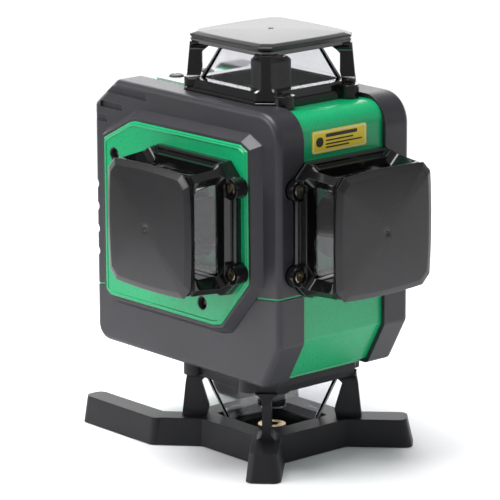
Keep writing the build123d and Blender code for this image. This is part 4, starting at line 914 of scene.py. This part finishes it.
@dataclass
class Dresser:
    """Builds each material once and puts it on the CAD nodes whose shape stays."""

    own_finish: dict[str, str] = field(default_factory=lambda: {"cone_sleeves": "smoked_glass"})
    effects: Effects = field(default_factory=Effects)
    made: dict[str, Material] = field(default_factory=dict)
    finishes: dict[str, Finish] = field(default_factory=finishes)

    def material(self, key: str) -> Material:
        """Material of a finish, built the first time it is asked for.

        Args:
            key: Name of the finish.

        Returns:
            The material.
        """
        if key not in self.made:
            self.made[key] = self.finishes[key].build(self.effects)
        return self.made[key]

    def dress_nodes(self) -> None:
        """Gives every CAD node the finish that its record slot names."""
        slots = {part["node"]: part["material_slot"] for part in frame["record"]["subparts"]}
        for name, node in frame["nodes"].items():
            key = self.own_finish.get(name, slots[name])
            if not node.data.materials:
                node.data.materials.append(None)
            for slot in node.material_slots:
                slot.material = self.material(key)
        log.info("dressed %d CAD nodes", len(frame["nodes"]))


@dataclass
class CapCover:
    """Crowned square cover of a window cage, with bowed sides and a gate mark."""

    half: float = 29.0 * MM
    corner: float = 4.6 * MM
    bow: float = 0.9 * MM
    face_half: float = 25.6 * MM
    seat: float = 26.6 * MM
    edge: float = 28.4 * MM
    rim: float = 30.0 * MM
    crown: float = 0.9 * MM
    well_radius: float = 11.5 * MM
    well_top: float = 28.4 * MM
    well_lead: float = 0.2 * MM
    lip: float = 0.2 * MM
    bevel_drop: float = 0.12 * MM
    face_drop: float = 0.1 * MM
    corner_loss: float = 0.9 * MM
    corner_rounding: float = 0.5 * MM
    skirt: Profile = ((0.95, 0.0), (0.7, 0.12), (0.12, 1.45), (0.02, 1.66), (0.0, 1.8), (0.06, 1.96))
    gate: Profile = ((1.55, 0.0), (1.25, 0.06), (1.0, 0.34), (0.62, 0.36), (0.45, 0.12), (0.2, 0.08))
    bevel_shares: tuple[float, ...] = (0.08, 0.35, 0.7, 0.93, 1.0)
    face_scales: tuple[float, ...] = (0.988, 0.965, 0.9, 0.78, 0.62, 0.44, 0.26, 0.12)
    side_points: int = 8
    corner_points: int = 5
    crisp: float = 38.0

    def outline(self, half: float, corner: float, bow: float, rounding: float, height: float) -> Ring:
        """Bowed cut square with softened corners.

        Args:
            half: Half of its width at the sides' ends.
            corner: How much each corner is cut.
            bow: How far each side bulges.
            rounding: Length that each softened corner takes from its two sides.
            height: Height of the ring.

        Returns:
            Points in order, the same number for every call.
        """
        inner = half - corner
        ring: Ring = []
        for turn in range(4):
            spin = Matrix.Rotation(math.pi / 2 * turn, 3, "Z")
            shares = [2 * i / self.side_points - 1 for i in range(self.side_points + 1)]
            side = [Vector((half + bow * (1 - t ** 2), inner * t, height)) for t in shares]
            start, end = Vector((half, inner, height)), Vector((inner, half, height))
            after = Vector((inner - rounding, half, height))
            cut = (end - start).normalized()
            reach = min(rounding, (end - start).length / 2.2)
            before = Vector((half, inner - rounding, height))
            ring += [spin @ point for point in side[1:-1]]
            for a, b, c in ((before, start, start + cut * reach), (end - cut * reach, end, after)):
                ring += [spin @ self._soft(a, b, c, i) for i in range(self.corner_points)]
        return ring

    def _soft(self, a: Vector, b: Vector, c: Vector, index: int) -> Vector:
        """Point on a soft corner from a round b to c."""
        t = index / (self.corner_points - 1)
        return a * (1 - t) ** 2 + b * 2 * t * (1 - t) + c * t ** 2

    def rings(self) -> list[Ring]:
        """Rings from the mirror well, over the rim, to the gate mark.

        Returns:
            Rings of the same number of points, in order.
        """
        cut, bow, soft = self.corner, self.bow, self.corner_rounding
        outer = self.outline(self.half, cut, bow, soft, self.edge)
        angles = [math.atan2(point.y, point.x) for point in outer]

        def matched(radius: float, height: float) -> Ring:
            """Circle whose points lie at the outline's own angles."""
            return [Vector((radius * math.cos(angle), radius * math.sin(angle), height)) for angle in angles]

        lead = self.well_lead
        well, top = self.well_radius, self.well_top
        rings = [matched(radius, height) for radius, height in
                 ((well * 0.5, top), (well - lead, top), (well, top - lead), (well, self.seat))]
        for inset, height in self.skirt:
            rings.append(self.outline(self.half - inset * MM, cut, bow, soft, self.seat + height * MM))
        start = self.edge + self.lip
        for share in self.bevel_shares:
            half = self.half + (self.face_half - self.half) * share
            height = start + (self.rim - start) * share - (self.bevel_drop if share == 1.0 else 0)
            rings.append(self.outline(half, cut - self.corner_loss * share, bow, soft, height))
        face = self.rim - self.face_drop
        for scale in self.face_scales:
            height = face + self.crown * (1 - scale ** 2)
            flat = self.outline(self.face_half, cut - self.corner_loss, bow, soft, height)
            rings.append([Vector((point.x * scale, point.y * scale, height)) for point in flat])
        for radius, drop in self.gate:
            rings.append(matched(radius * MM, face + self.crown - drop * MM))
        return rings

    def build(self, window: Window, seat: Seat, dresser: Dresser) -> None:
        """Cover of one window, in the place of its CAD node.

        Args:
            window: Which window.
            seat: Where it stands.
            dresser: Source of the materials.
        """
        name = f"{window.value}_cover"
        mesh = loft(self.rings(), name)
        mesh.transform(seat.matrix())
        piece = add_piece(name, smooth(mesh, self.crisp), "housing", [dresser.material("cap")])
        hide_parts(f"{window.value}_cap")


@dataclass
class FrameScrews:
    """Socket-head screws with their pale washers, four at each window."""

    along: float = 20.1 * MM
    side: float = 31.5 * MM
    head_radius: float = 2.75 * MM
    seat: float = 4.0 * MM
    head_height: float = 2.3 * MM
    socket_radius: float = 1.5 * MM
    shank_radius: float = 1.45 * MM
    shank_length: float = 7.0 * MM
    socket_depth: float = 1.5 * MM
    washer_outer: float = 3.05 * MM
    washer_height: float = 1.35 * MM
    points: int = 36

    def screw(self) -> Mesh:
        """One screw with a rounded head and a six-sided socket.

        Returns:
            The screw about Z, its head's underside at zero.
        """
        def hexagon(angle: float) -> float:
            """Radius of the socket at an angle."""
            sector = math.pi / 3
            return self.socket_radius * math.cos(sector / 2) / math.cos(angle % sector - sector / 2)

        shank, head, top = self.shank_radius, self.head_radius, self.head_height
        profile = ((shank * 0.8, -self.shank_length), (shank, 0.4 * MM - self.shank_length),
                   (shank, -0.02 * MM), (head - 0.1 * MM, 0.0), (head, 0.15 * MM), (head, top - 0.45 * MM),
                   (head - 0.12 * MM, top - 0.15 * MM), (head - 0.4 * MM, top),
                   (self.socket_radius + 0.25 * MM, top))
        rings = turned(profile, self.points)
        rings += [shaped(hexagon, top - depth, self.points) for depth in (0.08 * MM, self.socket_depth)]
        rings.append(circle(0.3 * MM, top - self.socket_depth - 0.2 * MM, self.points))
        return loft(rings, "socket_screw")

    def washer(self) -> Mesh:
        """Thin ring that shows round the head, at the bottom of the counterbore.

        Returns:
            The washer about Z.
        """
        outer, inner, top = self.washer_outer, self.head_radius + 0.03 * MM, self.washer_height
        section = ((inner, 0.02 * MM), (inner, top - 0.1 * MM), (inner + 0.08 * MM, top),
                   (outer - 0.06 * MM, top), (outer, top - 0.08 * MM), (outer, 0.02 * MM))
        return loft(turned(section, self.points), "washer", closed=True)

    def places(self, seats: dict[Window, Seat]) -> list[Matrix]:
        """Where each screw stands, each turned a little differently about its axis.

        Args:
            seats: Where the windows stand.

        Returns:
            One place for each screw.
        """
        found = []
        for index, seat in enumerate(seats.values()):
            for turn, (sx, sy) in enumerate(((-1, -1), (-1, 1), (1, -1), (1, 1))):
                local = Matrix.Translation((sx * self.along, sy * self.side, self.seat))
                spin = Matrix.Rotation(0.7 * index + 1.9 * turn, 4, "Z")
                found.append(seat.matrix() @ local @ spin)
        return found

    def build(self, seats: dict[Window, Seat], dresser: Dresser) -> None:
        """Screws and washers of every window.

        Args:
            seats: Where the windows stand.
            dresser: Source of the materials.
        """
        places = self.places(seats)
        steel, brass = dresser.material("screw_steel"), dresser.material("brass_part")
        screws = Repeater("frame_screw_set", steel, self.screw()).mesh(places)
        piece = add_piece("frame_screw_set", smooth(screws), "housing", [steel])
        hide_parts("window_frame_screws")
        washers = Repeater("frame_washer_set", brass, self.washer()).mesh(places)
        add_piece("frame_washer_set", smooth(washers), "housing", [brass])


@dataclass
class PaneEdges:
    """Pale bonded edges where the four panes of a window meet."""

    half_low: float = 23.2 * MM
    half_high: float = 16.3 * MM
    start: float = 7.3 * MM
    end: float = 23.8 * MM
    lower_half_high: float = 15.44 * MM
    lower_end: float = 31.4 * MM
    radius: float = 0.55 * MM
    inset: float = 0.35 * MM
    steps: int = 6
    crisp: float = 50.0

    def lines(self, seat: Seat, half_end: float, end: float) -> list[list[Vector]]:
        """The four slanting corner lines of one window.

        Args:
            seat: Where the window stands.
            half_end: Half width at the outer end.
            end: Height of the outer end.

        Returns:
            Four lines of points.
        """
        inset, found = self.inset, []
        for sx, sy in ((1, 1), (1, -1), (-1, 1), (-1, -1)):
            low = Vector((sx * (self.half_low - inset), sy * (self.half_low - inset), self.start + inset))
            high = Vector((sx * (half_end - inset), sy * (half_end - inset), end))
            found.append([seat.matrix() @ low.lerp(high, t / self.steps) for t in range(self.steps + 1)])
        return found

    def build(self, seats: dict[Window, Seat], dresser: Dresser) -> None:
        """Bonded edges of all four windows.

        Args:
            seats: Where the windows stand.
            dresser: Source of the materials.
        """
        lines = []
        for window, seat in seats.items():
            lower = window is Window.BOTTOM
            lines += self.lines(seat, self.lower_half_high if lower else self.half_high,
                                self.lower_end if lower else self.end)
        material = dresser.material("glass_edge")
        mesh = Bead("pane_edge_beads", material, self.radius).mesh(lines)
        add_piece("pane_edge_beads", smooth(mesh, self.crisp), "housing", [material])


@dataclass
class PanelScrews:
    """Cross-head screws of the side panels, each in a black cup."""

    head_radius: float = 2.4 * MM
    head_height: float = 1.5 * MM
    cross_length: float = 1.35 * MM
    cross_half: float = 0.32 * MM
    shank_radius: float = 1.4 * MM
    shank_length: float = 6 * MM
    cup_radius: float = 3.38 * MM
    cup_lip: float = 0.55 * MM
    cup_drop: float = 0.1 * MM
    left_spots: Profile = ((-3.6, 77.1), (60.0, 137.5))
    right_spots: Profile = ((-25.0, 148.0), (60.0, 96.0))
    points: int = 48

    def screw(self) -> Mesh:
        """Pan head with a cross recess.

        Returns:
            The screw about Z, its head's underside at zero.
        """
        def cross(angle: float) -> float:
            """Radius of the recess at an angle.

            Args:
                angle: Angle about the screw.

            Returns:
                The radius there.
            """
            s, c = abs(math.sin(angle)) + 1e-6, abs(math.cos(angle)) + 1e-6
            length, half = self.cross_length, self.cross_half
            return max(min(length, half / s), min(length, half / c))

        shank, head, top = self.shank_radius, self.head_radius, self.head_height
        profile = ((shank, -self.shank_length), (shank, -0.02 * MM), (head - 0.05 * MM, 0), (head, 0.2 * MM),
                   (head - 0.05 * MM, 0.8 * MM), (head - 0.35 * MM, 1.25 * MM), (head - 0.8 * MM, top))
        rings = turned(profile, self.points)
        rings += [shaped(cross, top, self.points),
                  shaped(lambda angle: cross(angle) * 0.7, top - 0.9 * MM, self.points),
                  circle(0.12 * MM, top - 1.3 * MM, self.points)]
        return loft(rings, "cross_screw")

    def cup(self, depth: float) -> Mesh:
        """Sleeve that lines the recess round a screw.

        Args:
            depth: Depth of the recess.

        Returns:
            The sleeve about Z.
        """
        outer, inner = self.cup_radius, self.cup_radius - self.cup_lip
        section = ((inner, 0.02 * MM), (inner, depth - 0.15 * MM), (inner + 0.15 * MM, depth),
                   (outer - 0.05 * MM, depth), (outer, depth - 0.05 * MM), (outer, 0.02 * MM))
        return loft(turned(section, self.points), "recess_cup", closed=True)

    def build(self, dresser: Dresser) -> None:
        """Screws and cups on both sides.

        Args:
            dresser: Source of the materials.
        """
        bright, black = dresser.material("screw_bright"), dresser.material("inner_plastic")
        screws: list[Matrix] = []
        cups: dict[str, list[Matrix]] = {}
        depths: dict[str, float] = {}
        for side, spots, turn in (("left", self.left_spots, -90), ("right", self.right_spots, 90)):
            low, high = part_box(f"{side}_side_panel")
            back = high.x if side == "left" else low.x
            depths[side] = high.x - low.x - self.cup_drop
            cups[side] = [Matrix.Translation((back, y * MM, z * MM))
                          @ Matrix.Rotation(math.radians(turn), 4, "Y") for y, z in spots]
            screws += [face @ Matrix.Rotation(0.5 + 1.1 * index, 4, "Z")
                       for index, face in enumerate(cups[side])]
        mesh = Repeater("panel_screw_set", bright, self.screw()).mesh(screws)
        piece = add_piece("panel_screw_set", smooth(mesh), "housing", [bright])
        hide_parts("side_panel_screws")
        for side, places in cups.items():
            name = f"{side}_recess_cups"
            lined = Repeater(name, black, self.cup(depths[side])).mesh(places)
            add_piece(name, smooth(lined), "housing", [black])


@dataclass
class PanelRim:
    """Low raised bead just inside the outline of each green side panel."""

    inset: float = 1.15 * MM
    radius: float = 0.62 * MM
    sunk: float = 0.22 * MM
    softening: float = 1.2 * MM
    shortest: float = 0.3 * MM
    flat_within: float = 0.02 * MM
    sides: int = 12

    def outline(self, node: str, out: float) -> Ring:
        """Longest edge loop round the outer face of a panel.

        Args:
            node: Name of the panel's CAD node.
            out: Direction of its outer face along X, as 1 or -1.

        Returns:
            Points in order round the face.
        """
        low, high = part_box(node)
        face_x = high.x if out > 0 else low.x
        panel = bpy.data.objects[node]
        mesh, place = panel.data, panel.matrix_world
        spots = [place @ vertex.co for vertex in mesh.vertices]
        count: dict[tuple, int] = {}
        for polygon in mesh.polygons:
            if all(abs(spots[i].x - face_x) < self.flat_within for i in polygon.vertices):
                for edge in polygon.edge_keys:
                    ends = [tuple(round(c, 6) for c in spots[i]) for i in edge]
                    if ends[0] != ends[1]:
                        key = tuple(sorted(ends))
                        count[key] = count.get(key, 0) + 1
        joined: dict[tuple, list[tuple]] = {}
        for (a, b), used in count.items():
            if used == 1:
                joined.setdefault(a, []).append(b)
                joined.setdefault(b, []).append(a)
        loops: list[Ring] = []
        while joined:
            here = next(iter(joined))
            loop = []
            while here in joined:
                loop.append(Vector(here))
                here = next((p for p in joined.pop(here) if p in joined), None)
            loops.append(loop)
        return max(loops, key=lambda loop: sum((a - b).length for a, b in zip(loop, loop[1:] + loop[:1])))

    def path(self, outline: Ring, out: float) -> Ring:
        """Closed path of the bead, set in from the outline with short softened corners.

        Args:
            outline: Points round the panel's face.
            out: Direction of the face along X, as 1 or -1.

        Returns:
            Points in order, the first one again at the end.
        """
        ring = [here for here, before in zip(outline, outline[-1:] + outline[:-1])
                if (here - before).length > self.shortest]
        area = sum(a.y * b.z - b.y * a.z for a, b in zip(ring, ring[1:] + ring[:1]))
        if area < 0:
            ring.reverse()
        inner: Ring = []
        for before, here, after in zip(ring[-1:] + ring[:-1], ring, ring[1:] + ring[:1]):
            first, second = (here - before).normalized(), (after - here).normalized()
            left, right = Vector((0, -first.z, first.y)), Vector((0, -second.z, second.y))
            inner.append(here + (left + right) * (self.inset / (1 + left.dot(right))))
        soft: Ring = []
        for before, here, after in zip(inner[-1:] + inner[:-1], inner, inner[1:] + inner[:1]):
            reach = min(self.softening, (here - before).length / 2.5, (after - here).length / 2.5)
            a = here + (before - here).normalized() * reach
            b = here + (after - here).normalized() * reach
            soft += [a * (1 - t) ** 2 + here * 2 * t * (1 - t) + b * t ** 2 for t in (0, 0.33, 0.67, 1)]
        shift = Vector((-out * self.sunk, 0, 0))
        return [point + shift for point in soft + soft[:1]]

    def build(self, dresser: Dresser) -> None:
        """Beads on the two panels.

        Args:
            dresser: Source of the materials.
        """
        green = dresser.material("green_shell")
        for node, out in (("left_side_panel", -1), ("right_side_panel", 1)):
            name = f"{node}_rim"
            path = self.path(self.outline(node, out), out)
            mesh = Bead(name, green, self.radius, self.sides).mesh([path])
            add_piece(name, smooth(mesh), "housing", [green])


@dataclass
class LabelPlate:
    """Yellow plate on the green front with a pale border and plain printed bars."""

    corner: float = 1.0 * MM
    border: float = 0.55 * MM
    inset: float = 0.45 * MM
    print_height: float = 0.04 * MM
    disc: float = 4.6 * MM
    disc_rounding: float = 2.2 * MM
    disc_x: float = -12.3 * MM
    bar_start: float = -8.6
    bars: tuple[tuple[float, float, float], ...] = (
        (2.6, 19.5, 1.7), (0.3, 17.0, 0.7), (-1.4, 22.5, 0.7), (-2.9, 14.5, 0.7))

    @staticmethod
    def rounded(width: float, height: float, radius: float, depth: float) -> Ring:
        """Rounded rectangle in the XZ plane at a depth along Y.

        Args:
            width: Its width.
            height: Its height.
            radius: Radius of its corners.
            depth: Its place along Y.

        Returns:
            Points in order.
        """
        ring = []
        for turn, (sx, sz) in enumerate(((1, 1), (-1, 1), (-1, -1), (1, -1))):
            centre = Vector((sx * (width / 2 - radius), depth, sz * (height / 2 - radius)))
            for i in range(6):
                angle = math.pi / 2 * (turn + i / 5)
                ring.append(centre + Vector((radius * math.cos(angle), 0, radius * math.sin(angle))))
        return ring

    def build(self, dresser: Dresser) -> None:
        """The label, in the place of its CAD node.

        Args:
            dresser: Source of the materials.
        """
        low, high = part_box("label_plate")
        width, height = high.x - low.x, high.z - low.z
        centre = (low + high) / 2
        back, front = high.y - centre.y, low.y - centre.y
        work = bmesh.new()

        def slab(wide: float, tall: float, radius: float, near: float, far: float, index: int,
                 x: float = 0.0, z: float = 0.0) -> None:
            """Adds a closed slab between two depths with one material index.

            Args:
                wide: Its width.
                tall: Its height.
                radius: Radius of its corners.
                near: Depth of its outer face.
                far: Depth of its inner face.
                index: Index of its material.
                x: Its place across.
                z: Its place up.
            """
            shift = Vector((x, 0, z))
            far_ring, near_ring = ([work.verts.new(point + shift) for point in
                                    self.rounded(wide, tall, radius, depth)] for depth in (far, near))
            made = [work.faces.new(list(reversed(far_ring))), work.faces.new(near_ring)]
            for face in made + bridge(work, far_ring, near_ring):
                face.material_index = index

        slab(width, height, self.corner, front, back, 0)
        step = self.print_height
        for inset, rounding, near, far, index in (
                (self.inset, 0.8, front - step, front + step, 1),
                (self.inset + self.border, 0.6, front - 2 * step, front - step / 2, 0)):
            slab(width - 2 * inset, height - 2 * inset, self.corner * rounding, near, far, index)
        mark = front - 3 * step
        slab(self.disc, self.disc, self.disc_rounding, mark, front - step, 2, x=self.disc_x)
        for z, length, thick in self.bars:
            slab(length * MM, thick * MM, thick * 0.3 * MM, mark, front - step, 2,
                 x=(self.bar_start + length / 2) * MM, z=z * MM)
        mesh = finished(work, "front_label")
        mesh.transform(Matrix.Translation(centre))
        materials = [dresser.material(key) for key in ("label", "label_border", "label_print")]
        piece = add_piece("front_label", smooth(mesh), "housing", materials)
        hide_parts("label_plate")


class Symbol(Enum):
    """The four keys' symbols, by the key that each stands on."""

    BROKEN_RING = "power_button"
    LEVEL_BAR = "horizontal_line_button"
    UPRIGHT_BAR = "vertical_line_button"
    WAVE = "pulse_button"


@dataclass
class KeypadPrint:
    """Plain symbols on the four buttons and small lamps on the panel."""

    size: float = 1.7 * MM
    stroke: float = 0.16 * MM
    lamp_radius: float = 0.9 * MM
    lamp_spots: tuple[float, ...] = (-2.6, 0.0, 2.6)
    lamp_points: int = 24
    stroke_sides: int = 6
    stroke_crisp: float = 60.0
    lamp_crisp: float = 50.0

    def symbol(self, kind: Symbol) -> list[Ring]:
        """Lines of one button's symbol, in the button's own plane.

        Args:
            kind: Which symbol.

        Returns:
            Lines of points.
        """
        size = self.size
        if kind is Symbol.BROKEN_RING:
            angles = [0.6 + i * 5.08 / 20 for i in range(21)]
            arc = [Vector((size * math.sin(angle), size * math.cos(angle), 0)) for angle in angles]
            return [arc, [Vector((0, size * 0.3, 0)), Vector((0, size * 1.15, 0))]]
        if kind is Symbol.LEVEL_BAR:
            return [[Vector((-size, 0, 0)), Vector((size, 0, 0))]]
        if kind is Symbol.UPRIGHT_BAR:
            return [[Vector((0, -size, 0)), Vector((0, size, 0))]]
        return [[Vector((size * (i / 8 - 1), 0.45 * size * math.sin(i * math.pi / 4), 0)) for i in range(17)]]

    def lamp(self) -> Mesh:
        """One small domed lamp.

        Returns:
            The lamp about Z.
        """
        radius = self.lamp_radius
        profile = ((radius, -0.1 * MM), (radius, 0.1 * MM),
                   (radius * 0.8, 0.22 * MM), (radius * 0.4, 0.28 * MM))
        return loft(turned(profile, self.lamp_points), "lamp")

    def build(self, dresser: Dresser) -> None:
        """Symbols that ride on their own buttons, and lamps on the panel.

        Args:
            dresser: Source of the materials.
        """
        pale = dresser.material("button_print")
        for kind in Symbol:
            button = kind.value
            low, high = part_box(button)
            centre = Vector(((low.x + high.x) / 2, (low.y + high.y) / 2, high.z))
            lines = [[point + centre for point in line] for line in self.symbol(kind)]
            mesh = Bead(f"{button}_symbol", pale, self.stroke, self.stroke_sides).mesh(lines)
            add_piece(f"{button}_symbol", smooth(mesh, self.stroke_crisp), button, [pale])
        low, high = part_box("keypad_panel")
        middle_y = (low.y + high.y) / 2
        places = [Matrix.Translation((x * MM, middle_y, high.z)) for x in self.lamp_spots]
        clear = dresser.material("glass_edge")
        mesh = Repeater("keypad_lamps", clear, self.lamp()).mesh(places)
        add_piece("keypad_lamps", smooth(mesh, self.lamp_crisp), "housing", [clear])


# ---- Light, floor and camera ----

@dataclass(frozen=True)
class SoftBox:
    """A rectangular soft light, or a pale card that only shows in reflections."""

    name: str
    place: tuple[float, float, float]
    size: tuple[float, float]
    power: float
    card: bool = False

    def light(self, aim: Vector) -> None:
        """Adds the light to the scene.

        Args:
            aim: Point that it looks at.
        """
        light = bpy.data.lights.new(self.name, "AREA")
        light.shape = "RECTANGLE"
        light.size, light.size_y = self.size
        light.energy = self.power
        lamp = new_object(self.name, light)
        lamp.location = self.place
        lamp.rotation_euler = (aim - Vector(self.place)).to_track_quat("-Z", "Y").to_euler()
        lamp.visible_camera = False
        lamp.visible_diffuse = not self.card


@dataclass
class Studio:
    """Pale floor, soft light and the camera."""

    azimuth: float = -41.026
    elevation: float = 14.064
    roll: float = -0.249
    distance: float = 1.6452
    shift_right: float = -10.19 * MM
    shift_up: float = -22.16 * MM
    centre: tuple[float, float, float] = (0.0, 0.0, 116.94 * MM)
    lens: float = 251.17
    floor_radius: float = 0.62
    floor_centre: tuple[float, float, float] = (0.12, -0.12, 0.0)
    floor_colour: RGB = (0.93, 0.93, 0.94)
    aim: tuple[float, float, float] = (0.0, 0.0, 0.1)
    boxes: tuple[SoftBox, ...] = (
        SoftBox("overhead", (-0.25, 0.15, 1.7), (1.0, 1.0), 34),
        SoftBox("behind", (1.5, 1.7, 0.95), (2.2, 1.3), 23),
        SoftBox("left_side", (-1.8, 0.9, 0.9), (0.9, 1.2), 24),
        SoftBox("front_fill", (1.2, -1.9, 0.8), (0.8, 1.0), 2),
        SoftBox("card_behind", (0.3, 2.2, 0.25), (2.4, 1.2), 16, card=True),
        SoftBox("card_right", (2.2, 0.1, 0.2), (1.2, 1.0), 8, card=True))
    room_colour: RGB = (0.96, 0.96, 1.0)
    room_strength: float = 0.46
    mirrored_strength: float = 0.30
    seen_through_glass: float = 1.0
    backdrop_strength: float = 1.05

    def floor(self) -> None:
        """Round pale floor just under the rubber feet, wider towards the front right."""
        work = bmesh.new()
        rim = circle(self.floor_radius, CAD_BOX[0].z - 0.02 * MM, 96)
        work.faces.new([work.verts.new(point + Vector(self.floor_centre)) for point in rim])
        mesh = bpy.data.meshes.new("floor")
        work.to_mesh(mesh)
        work.free()
        ground = new_object("floor", mesh)
        material = bpy.data.materials.new("floor_paper")
        material.use_nodes = True
        shader = material.node_tree.nodes["Principled BSDF"]
        shader.inputs["Base Color"].default_value = (*self.floor_colour, 1)
        shader.inputs["Roughness"].default_value = 0.9
        shader.inputs["Specular IOR Level"].default_value = 0.1
        mesh.materials.append(material)

    def lights(self) -> None:
        """Soft boxes overhead, behind and at the left, and cards that the glossy edges mirror."""
        for box in self.boxes:
            box.light(Vector(self.aim))

    def room(self) -> None:
        """Pale room that is darker for diffuse and mirrored light than for the backdrop."""
        world = bpy.data.worlds.new("studio")
        bpy.context.scene.world = world
        world.use_nodes = True
        tree = world.node_tree
        shown = tree.nodes["Background"]
        shown.inputs["Color"].default_value = (*self.room_colour, 1)
        shown.inputs["Strength"].default_value = self.room_strength
        path = tree.nodes.new("ShaderNodeLightPath")
        bounces = plus(tree, path.outputs["Glossy Depth"], path.outputs["Diffuse Depth"])
        unbounced = maths(tree, "LESS_THAN", bounces, 0.5)
        through = times(tree, path.outputs["Is Transmission Ray"], unbounced)
        for choice, strength in ((path.outputs["Is Glossy Ray"], self.mirrored_strength),
                                 (through, self.seen_through_glass),
                                 (path.outputs["Is Camera Ray"], self.backdrop_strength)):
            other = tree.nodes.new("ShaderNodeBackground")
            other.inputs["Color"].default_value = (1, 1, 1, 1)
            other.inputs["Strength"].default_value = strength
            choose = tree.nodes.new("ShaderNodeMixShader")
            tree.links.new(choice, choose.inputs["Fac"])
            tree.links.new(shown.outputs[0], choose.inputs[1])
            tree.links.new(other.outputs[0], choose.inputs[2])
            shown = choose
        tree.links.new(shown.outputs[0], tree.nodes["World Output"].inputs["Surface"])
        bpy.context.scene.view_settings.view_transform = "Standard"

    def camera(self) -> None:
        """Long lens from the front left, a little above."""
        a, e, r = (math.radians(v) for v in (self.azimuth, self.elevation, self.roll))
        back = Vector((math.sin(a) * math.cos(e), -math.cos(a) * math.cos(e), math.sin(e)))
        right = Vector((math.cos(a), math.sin(a), 0))
        up = back.cross(right)
        target = Vector(self.centre) + right * self.shift_right + up * self.shift_up
        turned_right = right * math.cos(r) + up * math.sin(r)
        turned_up = up * math.cos(r) - right * math.sin(r)
        data = bpy.data.cameras.new("camera")
        data.lens = self.lens
        data.sensor_width = 36.0
        data.clip_end = 50.0
        camera = new_object("camera", data)
        pose = Matrix((turned_right, turned_up, back)).transposed().to_4x4()
        camera.matrix_world = Matrix.Translation(target + back * self.distance) @ pose
        bpy.context.scene.camera = camera


def main() -> None:
    """Builds the light and camera, dresses the frame and adds every visual piece."""
    logging.basicConfig(level=logging.INFO, format="%(name)s: %(message)s")
    studio = Studio()
    studio.camera()
    studio.floor()
    studio.lights()
    studio.room()
    dresser = Dresser()
    dresser.dress_nodes()
    seats = window_seats()
    for window in (Window.TOP, Window.FRONT, Window.LEFT):
        CapCover().build(window, seats[window], dresser)
    FrameScrews().build(seats, dresser)
    PaneEdges().build(seats, dresser)
    PanelScrews().build(dresser)
    PanelRim().build(dresser)
    LabelPlate().build(dresser)
    KeypadPrint().build(dresser)


if __name__ == "__main__":
    main()
